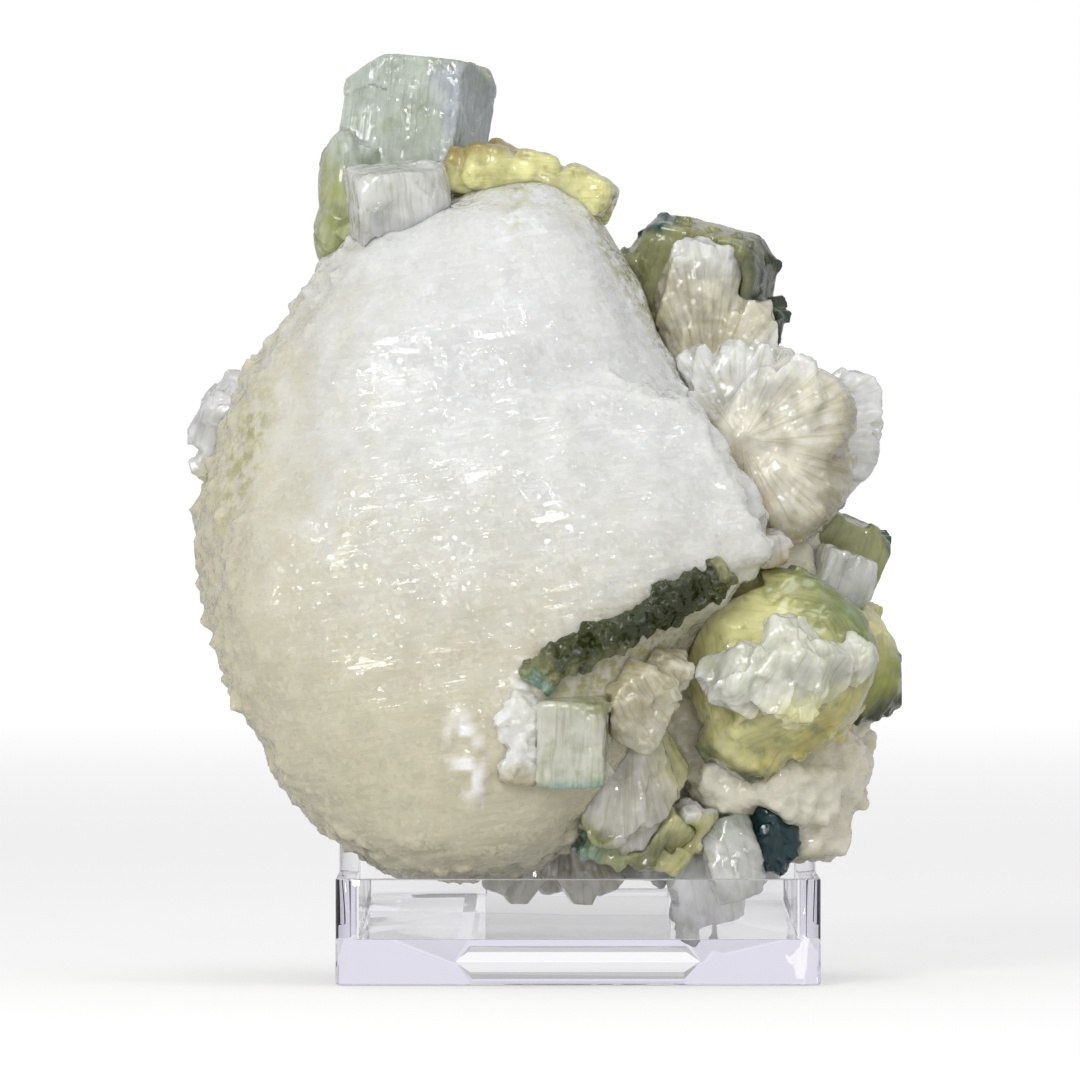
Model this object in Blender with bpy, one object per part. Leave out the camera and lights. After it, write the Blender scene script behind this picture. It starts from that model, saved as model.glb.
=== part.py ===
"""Green apophyllite with stilbite, a hand specimen that sits in a clear acrylic tray stand.

Lengths are in millimetres and become metres as the meshes are made. X runs to the right, Y to the back and Z up.
The origin is the middle of the stand's underside. Each crystal or crystal group is one closed solid, and a
group that has grown against a neighbour is hollowed where it meets it, with a hairline gap left between them.
"""

import math
import random

import bmesh
import bpy
import numpy as np
from mathutils import Euler, Matrix, Vector, noise
from mathutils.bvhtree import BVHTree

MM = 0.001
GAP = 0.35
SEED = 7

# The acrylic stand.
STAND_WIDTH = 70.0
STAND_DEPTH = 48.0
SLAB = 6.4
WALL = 3.0
LIP_TOP = 15.2
POST_TOP = 23.5
POST_RAMP = (9.0, 13.0)
STAND_CORNER = 2.6
BACK_GAP = 28.6
CORE_HALF_WIDTHS = (15.3, 17.6, 15.6)
CORE_HEIGHTS = (0.9, 3.3, 5.5)
CORE_FRONT = 5.0
CORE_WEDGE = 2.4

# The big stilbite sheaf: its outline seen from the front, and how far it bulges forwards and back. The lower
# sheaf laps over the upper one and ends in a steep edge at its upper right.
SHEAF_CENTRE = (-16.0, -3.0, 66.0)
SHEAF_FRONT = 26.0
SHEAF_BACK = 25.0
LOWER_CENTRE = (-13.0, -4.0, 51.0)
LOWER_FRONT = 30.0
LOWER_FULLNESS = 0.55
LOWER_OUTLINE = [
    (-52.3, 49.0), (-50.0, 41.5), (-45.4, 35.4), (-43.2, 29.2), (-38.6, 24.3), (-32.6, 19.5), (-26.4, 15.2),
    (-18.5, 13.6), (-8.4, 15.8), (1.0, 21.5), (7.0, 30.0), (11.0, 40.0), (17.0, 50.0), (25.5, 60.5), (24.0, 70.0),
    (18.5, 80.5), (8.0, 85.5), (-6.0, 86.5), (-20.0, 85.0), (-34.0, 81.0), (-44.0, 75.0), (-50.5, 66.0), (-53.0, 57.0),
]
SHEAF_OUTLINE = [
    (-25.7, 111.5), (-32.6, 108.5), (-37.0, 103.0), (-41.5, 96.1), (-47.3, 88.0), (-51.0, 79.5), (-54.0, 69.9),
    (-55.4, 63.4), (-53.8, 55.5), (-52.3, 49.0), (-50.0, 41.5), (-45.4, 35.4), (-43.2, 29.2), (-38.6, 24.3),
    (-32.6, 19.5), (-26.4, 15.2), (-18.5, 13.6), (-8.4, 15.8), (1.0, 21.5), (7.0, 30.0), (11.0, 40.0),
    (16.5, 50.0), (24.0, 60.5), (22.8, 69.9), (17.3, 81.5), (12.9, 92.2), (7.1, 104.5), (1.9, 112.4),
    (-4.5, 117.4), (-11.3, 116.6), (-18.5, 113.6),
]
BACK_FACE = 19.5

# The fused stilbite matrix that carries the crystals on the right.
MATRIX_CENTRE = (20.0, 2.0, 52.0)
MATRIX_FRONT = 15.0
MATRIX_BACK = 20.0
MATRIX_OUTLINE = [
    (-2.7, 23.8), (3.1, 18.4), (11.7, 15.8), (23.3, 15.0), (31.9, 18.6), (38.6, 24.4), (42.2, 29.8), (41.4, 35.4),
    (40.8, 42.6), (39.1, 49.8), (38.6, 57.0), (35.4, 62.6), (33.0, 69.9), (32.0, 80.0), (27.0, 88.0),
    (20.0, 92.0), (10.0, 90.0), (3.1, 74.0), (-2.7, 56.0), (-5.0, 38.2),
]

COLOURS = {
    "acrylic": ((0.93, 0.94, 0.96), 0.05),
    "stilbite_white": ((0.86, 0.85, 0.80), 0.42),
    "stilbite_cream": ((0.80, 0.74, 0.63), 0.50),
    "stilbite_clear": ((0.82, 0.83, 0.82), 0.25),
    "apophyllite_sage": ((0.62, 0.68, 0.60), 0.18),
    "apophyllite_yellow": ((0.68, 0.68, 0.42), 0.25),
    "apophyllite_green": ((0.38, 0.45, 0.27), 0.22),
    "apophyllite_teal": ((0.10, 0.26, 0.27), 0.18),
    "moss_green": ((0.22, 0.26, 0.12), 0.65),
}


# Meshes and solids


def material(slot):
    """The slot's Principled material, made once."""
    found = bpy.data.materials.get(slot)
    if found:
        return found
    made = bpy.data.materials.new(slot)
    made.use_nodes = True
    shader = made.node_tree.nodes["Principled BSDF"]
    colour, roughness = COLOURS[slot]
    shader.inputs["Base Color"].default_value = (*colour, 1.0)
    shader.inputs["Roughness"].default_value = roughness
    shader.inputs["Metallic"].default_value = 0.0
    return made


def solid(name, shape, slot=None):
    """Turns a bmesh in millimetres into an object in metres, with its faces pointing out."""
    bmesh.ops.recalc_face_normals(shape, faces=shape.faces)
    mesh = bpy.data.meshes.new(name)
    shape.transform(Matrix.Scale(MM, 4))
    shape.to_mesh(mesh)
    shape.free()
    made = bpy.data.objects.new(name, mesh)
    bpy.context.scene.collection.objects.link(made)
    if slot:
        mesh.materials.append(material(slot))
    return made


def combine(target, tool, operation):
    """Applies a Boolean of the two solids to the target and removes the tool."""
    modifier = target.modifiers.new(operation.lower(), "BOOLEAN")
    modifier.operation = operation
    modifier.object = tool
    graph = bpy.context.evaluated_depsgraph_get()
    mesh = bpy.data.meshes.new_from_object(target.evaluated_get(graph))
    slots = list(target.data.materials)
    target.modifiers.clear()
    target.data = mesh
    mesh.materials.clear()
    for kept in slots:
        mesh.materials.append(kept)
    bpy.data.objects.remove(tool)


def tidy(target, shortest=0.002):
    """Welds what a Boolean leaves almost touching, joins level faces, and keeps only the largest closed piece."""
    shape = bmesh.new()
    shape.from_mesh(target.data)
    bmesh.ops.remove_doubles(shape, verts=shape.verts, dist=shortest * MM)
    bmesh.ops.dissolve_degenerate(shape, edges=shape.edges, dist=shortest * MM)
    bmesh.ops.dissolve_limit(shape, angle_limit=math.radians(0.6), verts=shape.verts, edges=shape.edges)
    islands = []
    waiting = set(shape.faces)
    while waiting:
        stack = [waiting.pop()]
        island = set(stack)
        while stack:
            borders = [edge for edge in stack.pop().edges if len(edge.link_faces) == 2]
            beyond = {face for edge in borders for face in edge.link_faces} - island
            island |= beyond
            stack.extend(beyond)
        waiting -= island
        islands.append(island)
    largest = max(islands, key=lambda island: sum(face.calc_area() for face in island))
    stray = [face for face in shape.faces if face not in largest]
    bmesh.ops.delete(shape, geom=stray, context="FACES")
    shape.to_mesh(target.data)
    shape.free()


def swollen(shape, by=GAP):
    """A mesh of a shape whose faces are moved out by the gap that neighbours keep."""
    room = shape.copy()
    bmesh.ops.triangulate(room, faces=room.faces)
    bmesh.ops.recalc_face_normals(room, faces=room.faces)
    room.normal_update()
    moves = [vert.normal * by * min(vert.calc_shell_factor(), 2.5) for vert in room.verts]
    for vert, move in zip(room.verts, moves):
        vert.co += move
    mesh = bpy.data.meshes.new("room")
    room.transform(Matrix.Scale(MM, 4))
    room.to_mesh(mesh)
    room.free()
    return mesh


def box_of(mesh):
    """The lowest and highest corner of a mesh, in metres."""
    points = np.array([vert.co for vert in mesh.vertices])
    return points.min(axis=0), points.max(axis=0)


def near(first, second):
    """Whether the boxes of two meshes meet."""
    low, high = box_of(first)
    other_low, other_high = box_of(second)
    return bool(np.all(low <= other_high) and np.all(high >= other_low))


def grow(name, shapes, slot, taken):
    """Joins overlapping shapes to one solid, hollowed where it meets what has grown before.

    taken holds the room of every shape so far, and this solid's shapes are added to it.
    """
    rooms = [swollen(shape) for shape in shapes]
    whole = solid(name, shapes[0], slot)
    for shape in shapes[1:]:
        combine(whole, solid(name + "_shape", shape), "UNION")
    for room in taken:
        if near(whole.data, room):
            tool = bpy.data.objects.new("room", room)
            bpy.context.scene.collection.objects.link(tool)
            combine(whole, tool, "DIFFERENCE")
    tidy(whole)
    taken.extend(rooms)


# Shapes


def prism(outline, axis, low, high):
    """An outline extruded along X, Y or Z."""
    order = {"x": (2, 0, 1), "y": (0, 2, 1), "z": (0, 1, 2)}[axis]
    shape = bmesh.new()
    verts = []
    for point in outline:
        corner = (*point, low)
        verts.append(shape.verts.new([corner[i] for i in order]))
    face = shape.faces.new(verts)
    grown = bmesh.ops.extrude_face_region(shape, geom=[face])
    moved = [item for item in grown["geom"] if isinstance(item, bmesh.types.BMVert)]
    travel = (0.0, 0.0, high - low)
    bmesh.ops.translate(shape, verts=moved, vec=[travel[i] for i in order])
    return shape


def place(shape, centre, turn):
    """Turns a shape by Euler angles in degrees and moves its origin to the centre."""
    rotation = Euler([math.radians(angle) for angle in turn]).to_matrix().to_4x4()
    shape.transform(Matrix.Translation(centre) @ rotation)
    return shape


def slice_off(shape, point, normal):
    """Cuts a convex shape with a plane and closes the cut with one flat face."""
    everything = [*shape.verts, *shape.edges, *shape.faces]
    cut = bmesh.ops.bisect_plane(
        shape, geom=everything, plane_co=point, plane_no=normal, dist=1e-4, clear_outer=True
    )
    rim = [item for item in cut["geom_cut"] if isinstance(item, bmesh.types.BMEdge)]
    if rim:
        bmesh.ops.contextual_create(shape, geom=rim)


def block(size, centre, turn, corner=0.0, chips=(), seed=0):
    """A blocky crystal. corner is the share of the half size that its pyramid faces take off the corners.

    chips are extra flat faces, each a direction and the share of the half size where the face lies.
    """
    chance = random.Random(seed)
    shape = bmesh.new()
    bmesh.ops.create_cube(shape, size=1.0)
    bmesh.ops.scale(shape, verts=shape.verts, vec=size)
    half = Vector(size) / 2
    if corner:
        for signs in ((x, y, z) for x in (-1, 1) for y in (-1, 1) for z in (-1, 1)):
            depth = corner * chance.uniform(0.6, 1.4)
            normal = Vector([sign / extent for sign, extent in zip(signs, half)])
            point = Vector([sign * extent for sign, extent in zip(signs, half)]) * (1 - depth)
            slice_off(shape, point, normal)
    for direction, share in chips:
        normal = Vector(direction).normalized()
        reach = sum(abs(part) * extent for part, extent in zip(normal, half))
        slice_off(shape, normal * reach * share, normal)
    return place(shape, centre, turn)


def blade(length, width, thickness, centre, turn, waist=0.55, shoulder=0.72):
    """A tabular stilbite crystal along +Z from its root: narrow at the root, with a coffin-shaped tip."""
    half = width / 2
    outline = [
        (-half * waist, 0.0), (half * waist, 0.0), (half, length * shoulder), (half * 0.35, length),
        (-half * 0.25, length * 0.985), (-half, length * (shoulder - 0.06)),
    ]
    shape = prism(outline, "y", -thickness / 2, thickness / 2)
    for vert in shape.verts:
        vert.co.y *= 0.55 + 0.45 * math.sin(math.pi * min(1.0, vert.co.z / length + 0.15))
    bmesh.ops.triangulate(shape, faces=shape.faces)
    return place(shape, centre, turn)


def radii(outline, centre, angles):
    """How far an outline reaches from the centre at each angle."""
    offsets = np.array(outline) - (centre[0], centre[2])
    around = np.arctan2(offsets[:, 1], offsets[:, 0])
    order = np.argsort(around)
    return np.interp(angles, around[order], np.hypot(*offsets[order].T), period=2 * math.pi)


def lump(outline, centre, front, back, detail, fullness=0.72, roughness=0.0, seed=0):
    """A closed lump with that outline seen from the front, bulging forwards and back from its centre.

    Below 1, fullness makes its faces flatter and its edge rounder. roughness is the height of its low bumps.
    """
    shape = bmesh.new()
    bmesh.ops.create_icosphere(shape, subdivisions=detail, radius=1.0)
    for vert in shape.verts:
        spread = math.hypot(vert.co.x, vert.co.z)
        angle = math.atan2(vert.co.z, vert.co.x)
        reach = float(radii(outline, centre, [angle])[0]) * spread ** fullness
        depth = math.copysign(abs(vert.co.y) ** fullness, vert.co.y) * (back if vert.co.y > 0 else front)
        vert.co = (centre[0] + reach * math.cos(angle), centre[1] + depth, centre[2] + reach * math.sin(angle))
    if roughness:
        shape.normal_update()
        for vert in shape.verts:
            bump = noise.noise(vert.co * 0.11 + Vector((seed, 0, 0))) + 0.5 * noise.noise(vert.co * 0.31)
            vert.co += vert.normal * roughness * bump
    return shape


def flatten(shape, point, normal, keep=0.12):
    """Presses what lies beyond a plane back towards it, which leaves a nearly flat crystal face."""
    direction = Vector(normal).normalized()
    for vert in shape.verts:
        beyond = (vert.co - Vector(point)).dot(direction)
        if beyond > 0:
            vert.co -= direction * beyond * (1 - keep)


def front_of(name, x, z):
    """The point of a solid that shows from the front at that place, in millimetres."""
    shape = bmesh.new()
    shape.from_mesh(bpy.data.objects[name].data)
    tree = BVHTree.FromBMesh(shape)
    point = tree.ray_cast(Vector((x * MM, -1.0, z * MM)), Vector((0, 1, 0)))[0]
    shape.free()
    return point / MM


# The stand


def rounded_rectangle(width, depth, radius, steps=3):
    points = []
    for quarter in range(4):
        side = (1, -1, -1, 1)[quarter]
        way = (1, 1, -1, -1)[quarter]
        for step in range(steps + 1):
            angle = math.radians(90 * (quarter + step / steps))
            points.append((
                side * (width / 2 - radius) + radius * math.cos(angle),
                way * (depth / 2 - radius) + radius * math.sin(angle),
            ))
    return points


def acrylic_stand():
    """A moulded tray: thick slab, low lip at the front and sides, and a taller back in two panels.

    A six-sided core leaves the slab hollow from the back, with a wedge at its front end.
    """
    back = STAND_DEPTH / 2
    stand = solid(
        "acrylic_stand", prism(rounded_rectangle(STAND_WIDTH, STAND_DEPTH, STAND_CORNER), "z", 0, POST_TOP), "acrylic"
    )
    inside = rounded_rectangle(STAND_WIDTH - 2 * WALL, STAND_DEPTH - 2 * WALL, 0.8, 1)
    combine(stand, solid("pocket", prism(inside, "z", SLAB, POST_TOP + 5)), "DIFFERENCE")
    above = [(-back - 5, LIP_TOP), (POST_RAMP[0], LIP_TOP), (POST_RAMP[1], POST_TOP + 0.5), (-back - 5, POST_TOP + 0.5)]
    combine(stand, solid("above_lip", prism(above, "x", -STAND_WIDTH, STAND_WIDTH)), "DIFFERENCE")
    gap = [(-BACK_GAP / 2, SLAB), (BACK_GAP / 2, SLAB), (BACK_GAP / 2, POST_TOP + 5), (-BACK_GAP / 2, POST_TOP + 5)]
    combine(stand, solid("back_gap", prism(gap, "y", back - WALL - 1, back + 5)), "DIFFERENCE")
    combine(stand, solid("core", core()), "DIFFERENCE")
    bevel = stand.modifiers.new("rounded_edges", "BEVEL")
    bevel.width = 0.55 * MM
    bevel.segments = 2
    bevel.limit_method = "ANGLE"
    bevel.angle_limit = math.radians(50)
    return stand


def core():
    """The hollow in the slab: a six-sided bar that is open at the back and ends in a wedge at the front."""
    low, middle, high = CORE_HALF_WIDTHS
    bottom, widest, top = CORE_HEIGHTS
    section = [(-low, bottom), (low, bottom), (middle, widest), (high, top), (-high, top), (-middle, widest)]
    front = -STAND_DEPTH / 2 + CORE_FRONT
    shape = prism(section, "y", front + CORE_WEDGE, STAND_DEPTH / 2 + 5)
    for vert in shape.verts:
        if vert.co.y < 0 and abs(vert.co.z - widest) < 0.01:
            vert.co.y = front
    start = [face for face in shape.faces if all(vert.co.y < 0 for vert in face.verts)]
    ridge = [vert for vert in start[0].verts if abs(vert.co.z - widest) < 0.01]
    bmesh.utils.face_split(start[0], ridge[0], ridge[1])
    return shape


# The specimen


def stilbite_sheaf():
    """The great fan of fused stilbite: the lower sheaf laps over the upper one, with a druse on the outer rim."""
    shape = lump(SHEAF_OUTLINE, SHEAF_CENTRE, SHEAF_FRONT, SHEAF_BACK, 4, 0.74)
    for vert in shape.verts:
        if vert.co.y < SHEAF_CENTRE[1]:
            vert.co.y = min(vert.co.y, lower_sheaf_front(vert.co.x, vert.co.z))
    shape.normal_update()
    for vert in shape.verts:
        bump = noise.noise(vert.co * 0.11 + Vector((SEED, 0, 0))) + 0.5 * noise.noise(vert.co * 0.31)
        vert.co += vert.normal * bump
    flatten(shape, (0.0, BACK_FACE, 0.0), (0.0, 1.0, 0.0), 0.0)
    return "stilbite_sheaf", [shape, *stepped_tips(), *rim_druse()], "stilbite_white"


def lower_sheaf_front(x, z):
    """How far forward the lower sheaf stands at that place, or its middle depth outside its outline."""
    angle = math.atan2(z - LOWER_CENTRE[2], x - LOWER_CENTRE[0])
    reach = float(radii(LOWER_OUTLINE, LOWER_CENTRE, [angle])[0])
    share = min(1.0, math.hypot(x - LOWER_CENTRE[0], z - LOWER_CENTRE[2]) / reach)
    bulge = (1.0 - share ** (2 / LOWER_FULLNESS)) ** (LOWER_FULLNESS / 2)
    return LOWER_CENTRE[1] - LOWER_FRONT * bulge


def stepped_tips():
    """The blocky crystal tips on the lower sheaf's upper right edge, which fan out from its centre."""
    chance = random.Random(SEED)
    tips = []
    count = 10
    for i in range(count):
        angle = math.radians(74 - 60 * i / (count - 1))
        out = Vector((math.cos(angle), 0.0, math.sin(angle)))
        reach = float(radii(LOWER_OUTLINE, LOWER_CENTRE, [angle])[0]) - chance.uniform(3.6, 5.4)
        x, z = LOWER_CENTRE[0] + reach * out.x, LOWER_CENTRE[2] + reach * out.z
        centre = (x, lower_sheaf_front(x, z) + chance.uniform(3.4, 4.4), z)
        size = (chance.uniform(6.0, 8.0), chance.uniform(8.0, 10.0), chance.uniform(9.0, 11.0))
        turn = (chance.uniform(-8, 4), 90 - math.degrees(angle) + chance.uniform(-6, 6), chance.uniform(-14, 14))
        tips.append(block(size, centre, turn, 0.0, [((0.5, -0.3, 0.8), 0.9)]))
    return tips


def rim_druse():
    """Small crystals round the sheaf's left and lower edge."""
    chance = random.Random(SEED + 1)
    druse = []
    count = 20
    for i in range(count):
        angle = math.radians(128 + 152 * i / (count - 1))
        reach = float(radii(SHEAF_OUTLINE, SHEAF_CENTRE, [math.atan2(math.sin(angle), math.cos(angle))])[0])
        out = Vector((math.cos(angle), 0, math.sin(angle)))
        centre = Vector(SHEAF_CENTRE) + out * (reach - chance.uniform(1.2, 2.4))
        centre.y += chance.uniform(-5.0, 4.0)
        size = [chance.uniform(2.6, 4.6) for _ in range(3)]
        turn = [chance.uniform(0, 90) for _ in range(3)]
        druse.append(block(size, centre, turn))
    return druse


def matrix():
    """The fused cream stilbite behind and below the crystals on the right, with drusy lobes."""
    shape = lump(MATRIX_OUTLINE, MATRIX_CENTRE, MATRIX_FRONT, MATRIX_BACK, 3, 0.8, 2.0, 3)
    flatten(shape, (0.0, BACK_FACE - 0.5, 0.0), (0.0, 1.0, 0.0), 0.0)
    chance = random.Random(SEED + 2)
    lobes = []
    for i, (x, y, z, size) in enumerate(LOWER_LOBES):
        lobes.append(block((size, size * 0.9, size * 0.8), (x, y, z), (20 * i, 33 * i, 47 * i), 0.34, seed=i))
    count = 8
    for i in range(count):
        angle = math.radians(-62 + 76 * i / (count - 1))
        reach = float(radii(MATRIX_OUTLINE, MATRIX_CENTRE, [angle])[0]) - 0.8
        centre = (
            MATRIX_CENTRE[0] + reach * math.cos(angle),
            MATRIX_CENTRE[1] + chance.uniform(-6.0, 4.0),
            MATRIX_CENTRE[2] + reach * math.sin(angle),
        )
        size = [chance.uniform(3.0, 5.5) for _ in range(3)]
        lobes.append(block(size, centre, [chance.uniform(0, 90) for _ in range(3)]))
    return "stilbite_matrix", [shape, *lobes], "stilbite_cream"


# Middle and size of the matrix's rounded lobes below the yellow crystal.
LOWER_LOBES = [
    (22.0, -11.0, 29.5, 11.5), (30.5, -10.0, 29.0, 13.5), (36.5, -6.0, 31.5, 12.5), (34.0, -5.0, 23.5, 11.0),
    (14.0, -11.0, 36.0, 11.0), (37.5, -4.0, 39.5, 9.0), (5.0, -8.0, 31.0, 10.0),
]


def apophyllite_top():
    """The tall sage-green apophyllite at the top, with a crust of small crystals down its left foot."""
    main = block(
        (17.6, 15.0, 31.0), (-24.4, 2.5, 118.6), (-4, 6, -20), 0.05,
        [((-0.62, 0, 0.78), 0.80), ((-0.15, -0.5, 0.85), 0.93), ((0.9, 0.1, 0.42), 0.93)], 11,
    )
    crust = [
        block((6.5, 8.0, 9.0), (-33.0, -1.0, 117.5), (14, 12, 30), 0.3, seed=12),
        block((6.0, 7.0, 8.0), (-34.0, -2.5, 111.8), (40, 22, 12), 0.3, seed=13),
        block((5.5, 6.0, 7.0), (-31.5, -6.0, 109.5), (10, 42, 32), 0.25, seed=14),
    ]
    return "apophyllite_top", [main, *crust], "apophyllite_sage"


def stilbite_block_top():
    """The milky block in front of the top crystal."""
    shape = block(
        (13.8, 9.0, 13.0), (-25.8, -11.5, 111.5), (12, -6, 14), 0.12,
        [((0.75, -0.5, 0.2), 0.80), ((-0.5, -0.2, 0.8), 0.9)], 21,
    )
    return "stilbite_block_top", [shape], "stilbite_clear"


def druse_top():
    """The yellow-green drusy ridge on the sheaf's crest."""
    shapes = []
    chance = random.Random(SEED + 3)
    count = 9
    for i in range(count):
        share = i / (count - 1)
        x = -17.0 + 18.0 * share
        z = 113.6 + 3.6 * math.sin(math.pi * min(1.0, 0.35 + 0.75 * share))
        size = (chance.uniform(5.5, 6.8), chance.uniform(9.0, 12.0), chance.uniform(4.5, 6.0))
        turn = (chance.uniform(-14, 14), 8 + 22 * share + chance.uniform(-8, 8), chance.uniform(-20, 20))
        shapes.append(block(size, (x, -4.0 + chance.uniform(-1.5, 1.5), z), turn))
    return "apophyllite_druse_top", shapes, "apophyllite_yellow"


def cluster_upper_right():
    """The dark-rimmed green apophyllite at the upper right."""
    body = block(
        (18.0, 13.0, 20.0), (18.0, 8.0, 99.5), (6, 14, -16), 0.16,
        [((0.8, 0, 0.6), 0.84), ((-0.5, -0.2, 0.85), 0.9)], 31,
    )
    extra = [
        block((7.0, 8.0, 9.0), (25.3, 6.0, 95.0), (30, 18, 24), 0.22, seed=32),
        block((6.5, 7.0, 8.0), (11.5, 6.0, 105.5), (24, 40, 10), 0.2, seed=33),
        block((5.0, 6.0, 5.0), (24.0, 4.0, 103.6), (50, 18, 30), 0.2, seed=34),
    ]
    return "apophyllite_upper_right", [body, *extra], "apophyllite_green"


def stilbite_upper_right():
    """The white stilbite that grew over the front of the upper right crystal."""
    main = block((11.0, 8.0, 19.0), (17.2, 0.0, 98.0), (8, 12, 8), 0.3, [((0.3, -0.9, 0.3), 0.85)], 35)
    side = block((6.0, 6.0, 11.5), (25.8, 0.5, 93.0), (4, -4, 14), 0.25, seed=36)
    foot = block((11.0, 8.0, 8.0), (20.5, 0.5, 92.5), (10, 30, 8), 0.3, seed=37)
    return "stilbite_upper_right", [main, side, foot], "stilbite_white"


def rosette():
    """The fan of stilbite blades at the right, which spreads from a rounded cream foot."""
    foot = lump(
        [(23.0, 66.0), (24.5, 75.0), (30.0, 80.0), (37.5, 79.0), (40.0, 73.0), (37.0, 66.5), (32.0, 62.8), (27.0, 63.6)],
        (31.5, -7.0, 71.5), 10.5, 9.0, 2, 0.85, 0.5, 5,
    )
    chance = random.Random(SEED + 4)
    blades = []
    for i, (lean, length, width, depth) in enumerate(ROSETTE_BLADES):
        turn = (chance.uniform(-6, 14), lean, chance.uniform(-24, 24))
        blades.append(blade(length, width, chance.uniform(3.4, 4.6), (25.5, depth, 69.5), turn, 0.6, 0.78))
    upper = block((9.5, 6.5, 8.0), (34.6, -11.5, 82.0), (20, 24, 18), 0.26, seed=44)
    return "stilbite_rosette", [foot, *blades, upper], "stilbite_white"


# Lean to the right in degrees, length, width and depth of each blade of the rosette.
ROSETTE_BLADES = [
    (-26, 24.0, 8.5, -9.0), (-8, 23.5, 9.0, -11.5), (10, 23.0, 9.5, -7.0), (24, 23.5, 9.0, -12.0),
    (38, 22.0, 8.0, -5.0), (52, 19.5, 8.5, -10.0), (2, 20.0, 8.0, -14.0),
]


def blades_far_right():
    """The cool white blades that show behind the rosette."""
    shapes = []
    for lean, length, depth in ((58, 17.0, 2.0), (74, 15.5, 4.5), (92, 14.5, 1.5), (108, 13.5, 4.0)):
        shapes.append(blade(length, 9.0, 4.4, (29.5, depth, 78.0), (6, lean, 8), 0.8, 0.86))
    return "stilbite_blades_right", shapes, "stilbite_clear"


def crystal_right_upper():
    """The sharp olive apophyllite below the rosette."""
    shape = block(
        (13.0, 11.0, 10.5), (37.4, 3.5, 62.0), (10, 20, 14), 0.14, [((0.75, 0, -0.66), 0.80), ((0.3, 0, 0.95), 0.9)], 51
    )
    return "apophyllite_right_upper", [shape], "apophyllite_green"


def crystal_right_clear():
    """The grey clear stilbite block between the two olive crystals."""
    shape = block((8.0, 8.0, 8.5), (38.0, -6.5, 58.0), (8, 18, 22), 0.2, seed=52)
    return "stilbite_right_clear", [shape], "stilbite_clear"


def crystal_right_lower():
    """The long olive apophyllite at the far right."""
    shape = lump(
        [(34.0, 52.0), (38.6, 56.0), (42.4, 54.4), (45.2, 50.6), (47.0, 45.2), (46.6, 39.6), (42.4, 37.0), (36.0, 38.5)],
        (39.5, -3.0, 46.0), 8.5, 10.0, 2, 0.75, 0.4, 9,
    )
    return "apophyllite_right_lower", [shape], "apophyllite_green"


def crystal_front():
    """The big rounded yellow-green apophyllite in front."""
    upper = lump(YELLOW_OUTLINE, (28.6, -17.5, 46.0), 13.0, 11.0, 3, 0.8, 0.4, 6)
    flatten(upper, (27.0, -25.5, 53.0), (-0.15, -0.72, 0.68), 0.05)
    flatten(upper, (19.0, -22.0, 44.0), (-0.80, -0.60, -0.10), 0.05)
    flatten(upper, (30.0, -24.0, 36.0), (0.1, -0.72, -0.70), 0.05)
    foot = lump(
        [(17.0, 34.5), (21.0, 31.4), (28.5, 30.0), (31.5, 33.0), (28.0, 38.0), (19.0, 38.5)],
        (24.5, -16.5, 34.4), 7.0, 8.0, 2, 0.85,
    )
    return "apophyllite_front", [upper, foot], "apophyllite_yellow"


YELLOW_OUTLINE = [
    (14.9, 49.5), (17.5, 55.3), (23.0, 59.6), (31.5, 59.7), (38.6, 55.7), (43.2, 49.6), (41.4, 41.0), (36.0, 34.4),
    (28.6, 32.0), (21.0, 34.5), (16.2, 41.5),
]


def tuft_front():
    """The white crystals that cap the yellow apophyllite."""
    shapes = [
        block((10.0, 9.0, 9.5), (24.8, -29.0, 44.4), (24, 14, 34), 0.30, seed=71),
        block((9.5, 8.0, 11.0), (30.2, -30.5, 44.2), (12, 34, 12), 0.22, seed=72),
        block((7.5, 7.5, 7.5), (35.2, -29.0, 46.2), (30, 12, 30), 0.26, seed=73),
        block((5.5, 6.5, 6.0), (38.8, -26.4, 47.0), (10, 40, 20), 0.24, seed=74),
        block((8.5, 7.0, 6.0), (30.5, -29.0, 49.4), (24, 24, 12), 0.26, seed=75),
    ]
    return "stilbite_tuft_front", shapes, "stilbite_clear"


def crystal_square():
    """The square pale crystal at the lower middle."""
    centre = front_of("stilbite_sheaf", -0.8, 35.3) - Vector((0.0, 1.6, 0.0))
    shape = block((9.4, 8.5, 12.2), centre, (7, 1.5, -6), 0.06, [((0.1, -0.3, 0.95), 0.93)], 81)
    return "apophyllite_square", [shape], "apophyllite_sage"


def crystals_white_middle():
    """The white crystals right of the square one."""
    low = front_of("stilbite_sheaf", 8.4, 40.6) - Vector((0.0, 1.0, 0.0))
    high = front_of("stilbite_sheaf", 11.6, 45.0) - Vector((0.0, 0.6, 0.0))
    shapes = [
        block((8.6, 8.5, 11.5), low, (10, 24, 16), 0.2, seed=83),
        block((6.5, 7.0, 7.0), high, (30, 10, 30), 0.26, seed=84),
    ]
    return "stilbite_white_middle", shapes, "stilbite_white"


def snow_left():
    """The small white crystals on the sheaf beside the square crystal."""
    low = front_of("stilbite_sheaf", -7.6, 34.0)
    high = front_of("stilbite_sheaf", -8.6, 38.8)
    shapes = [
        block((5.0, 5.6, 9.0), low, (10, 14, 20), 0.25, seed=85),
        block((4.5, 5.4, 6.0), high, (25, 40, 10), 0.25, seed=86),
    ]
    return "stilbite_snow_left", shapes, "stilbite_white"


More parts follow.
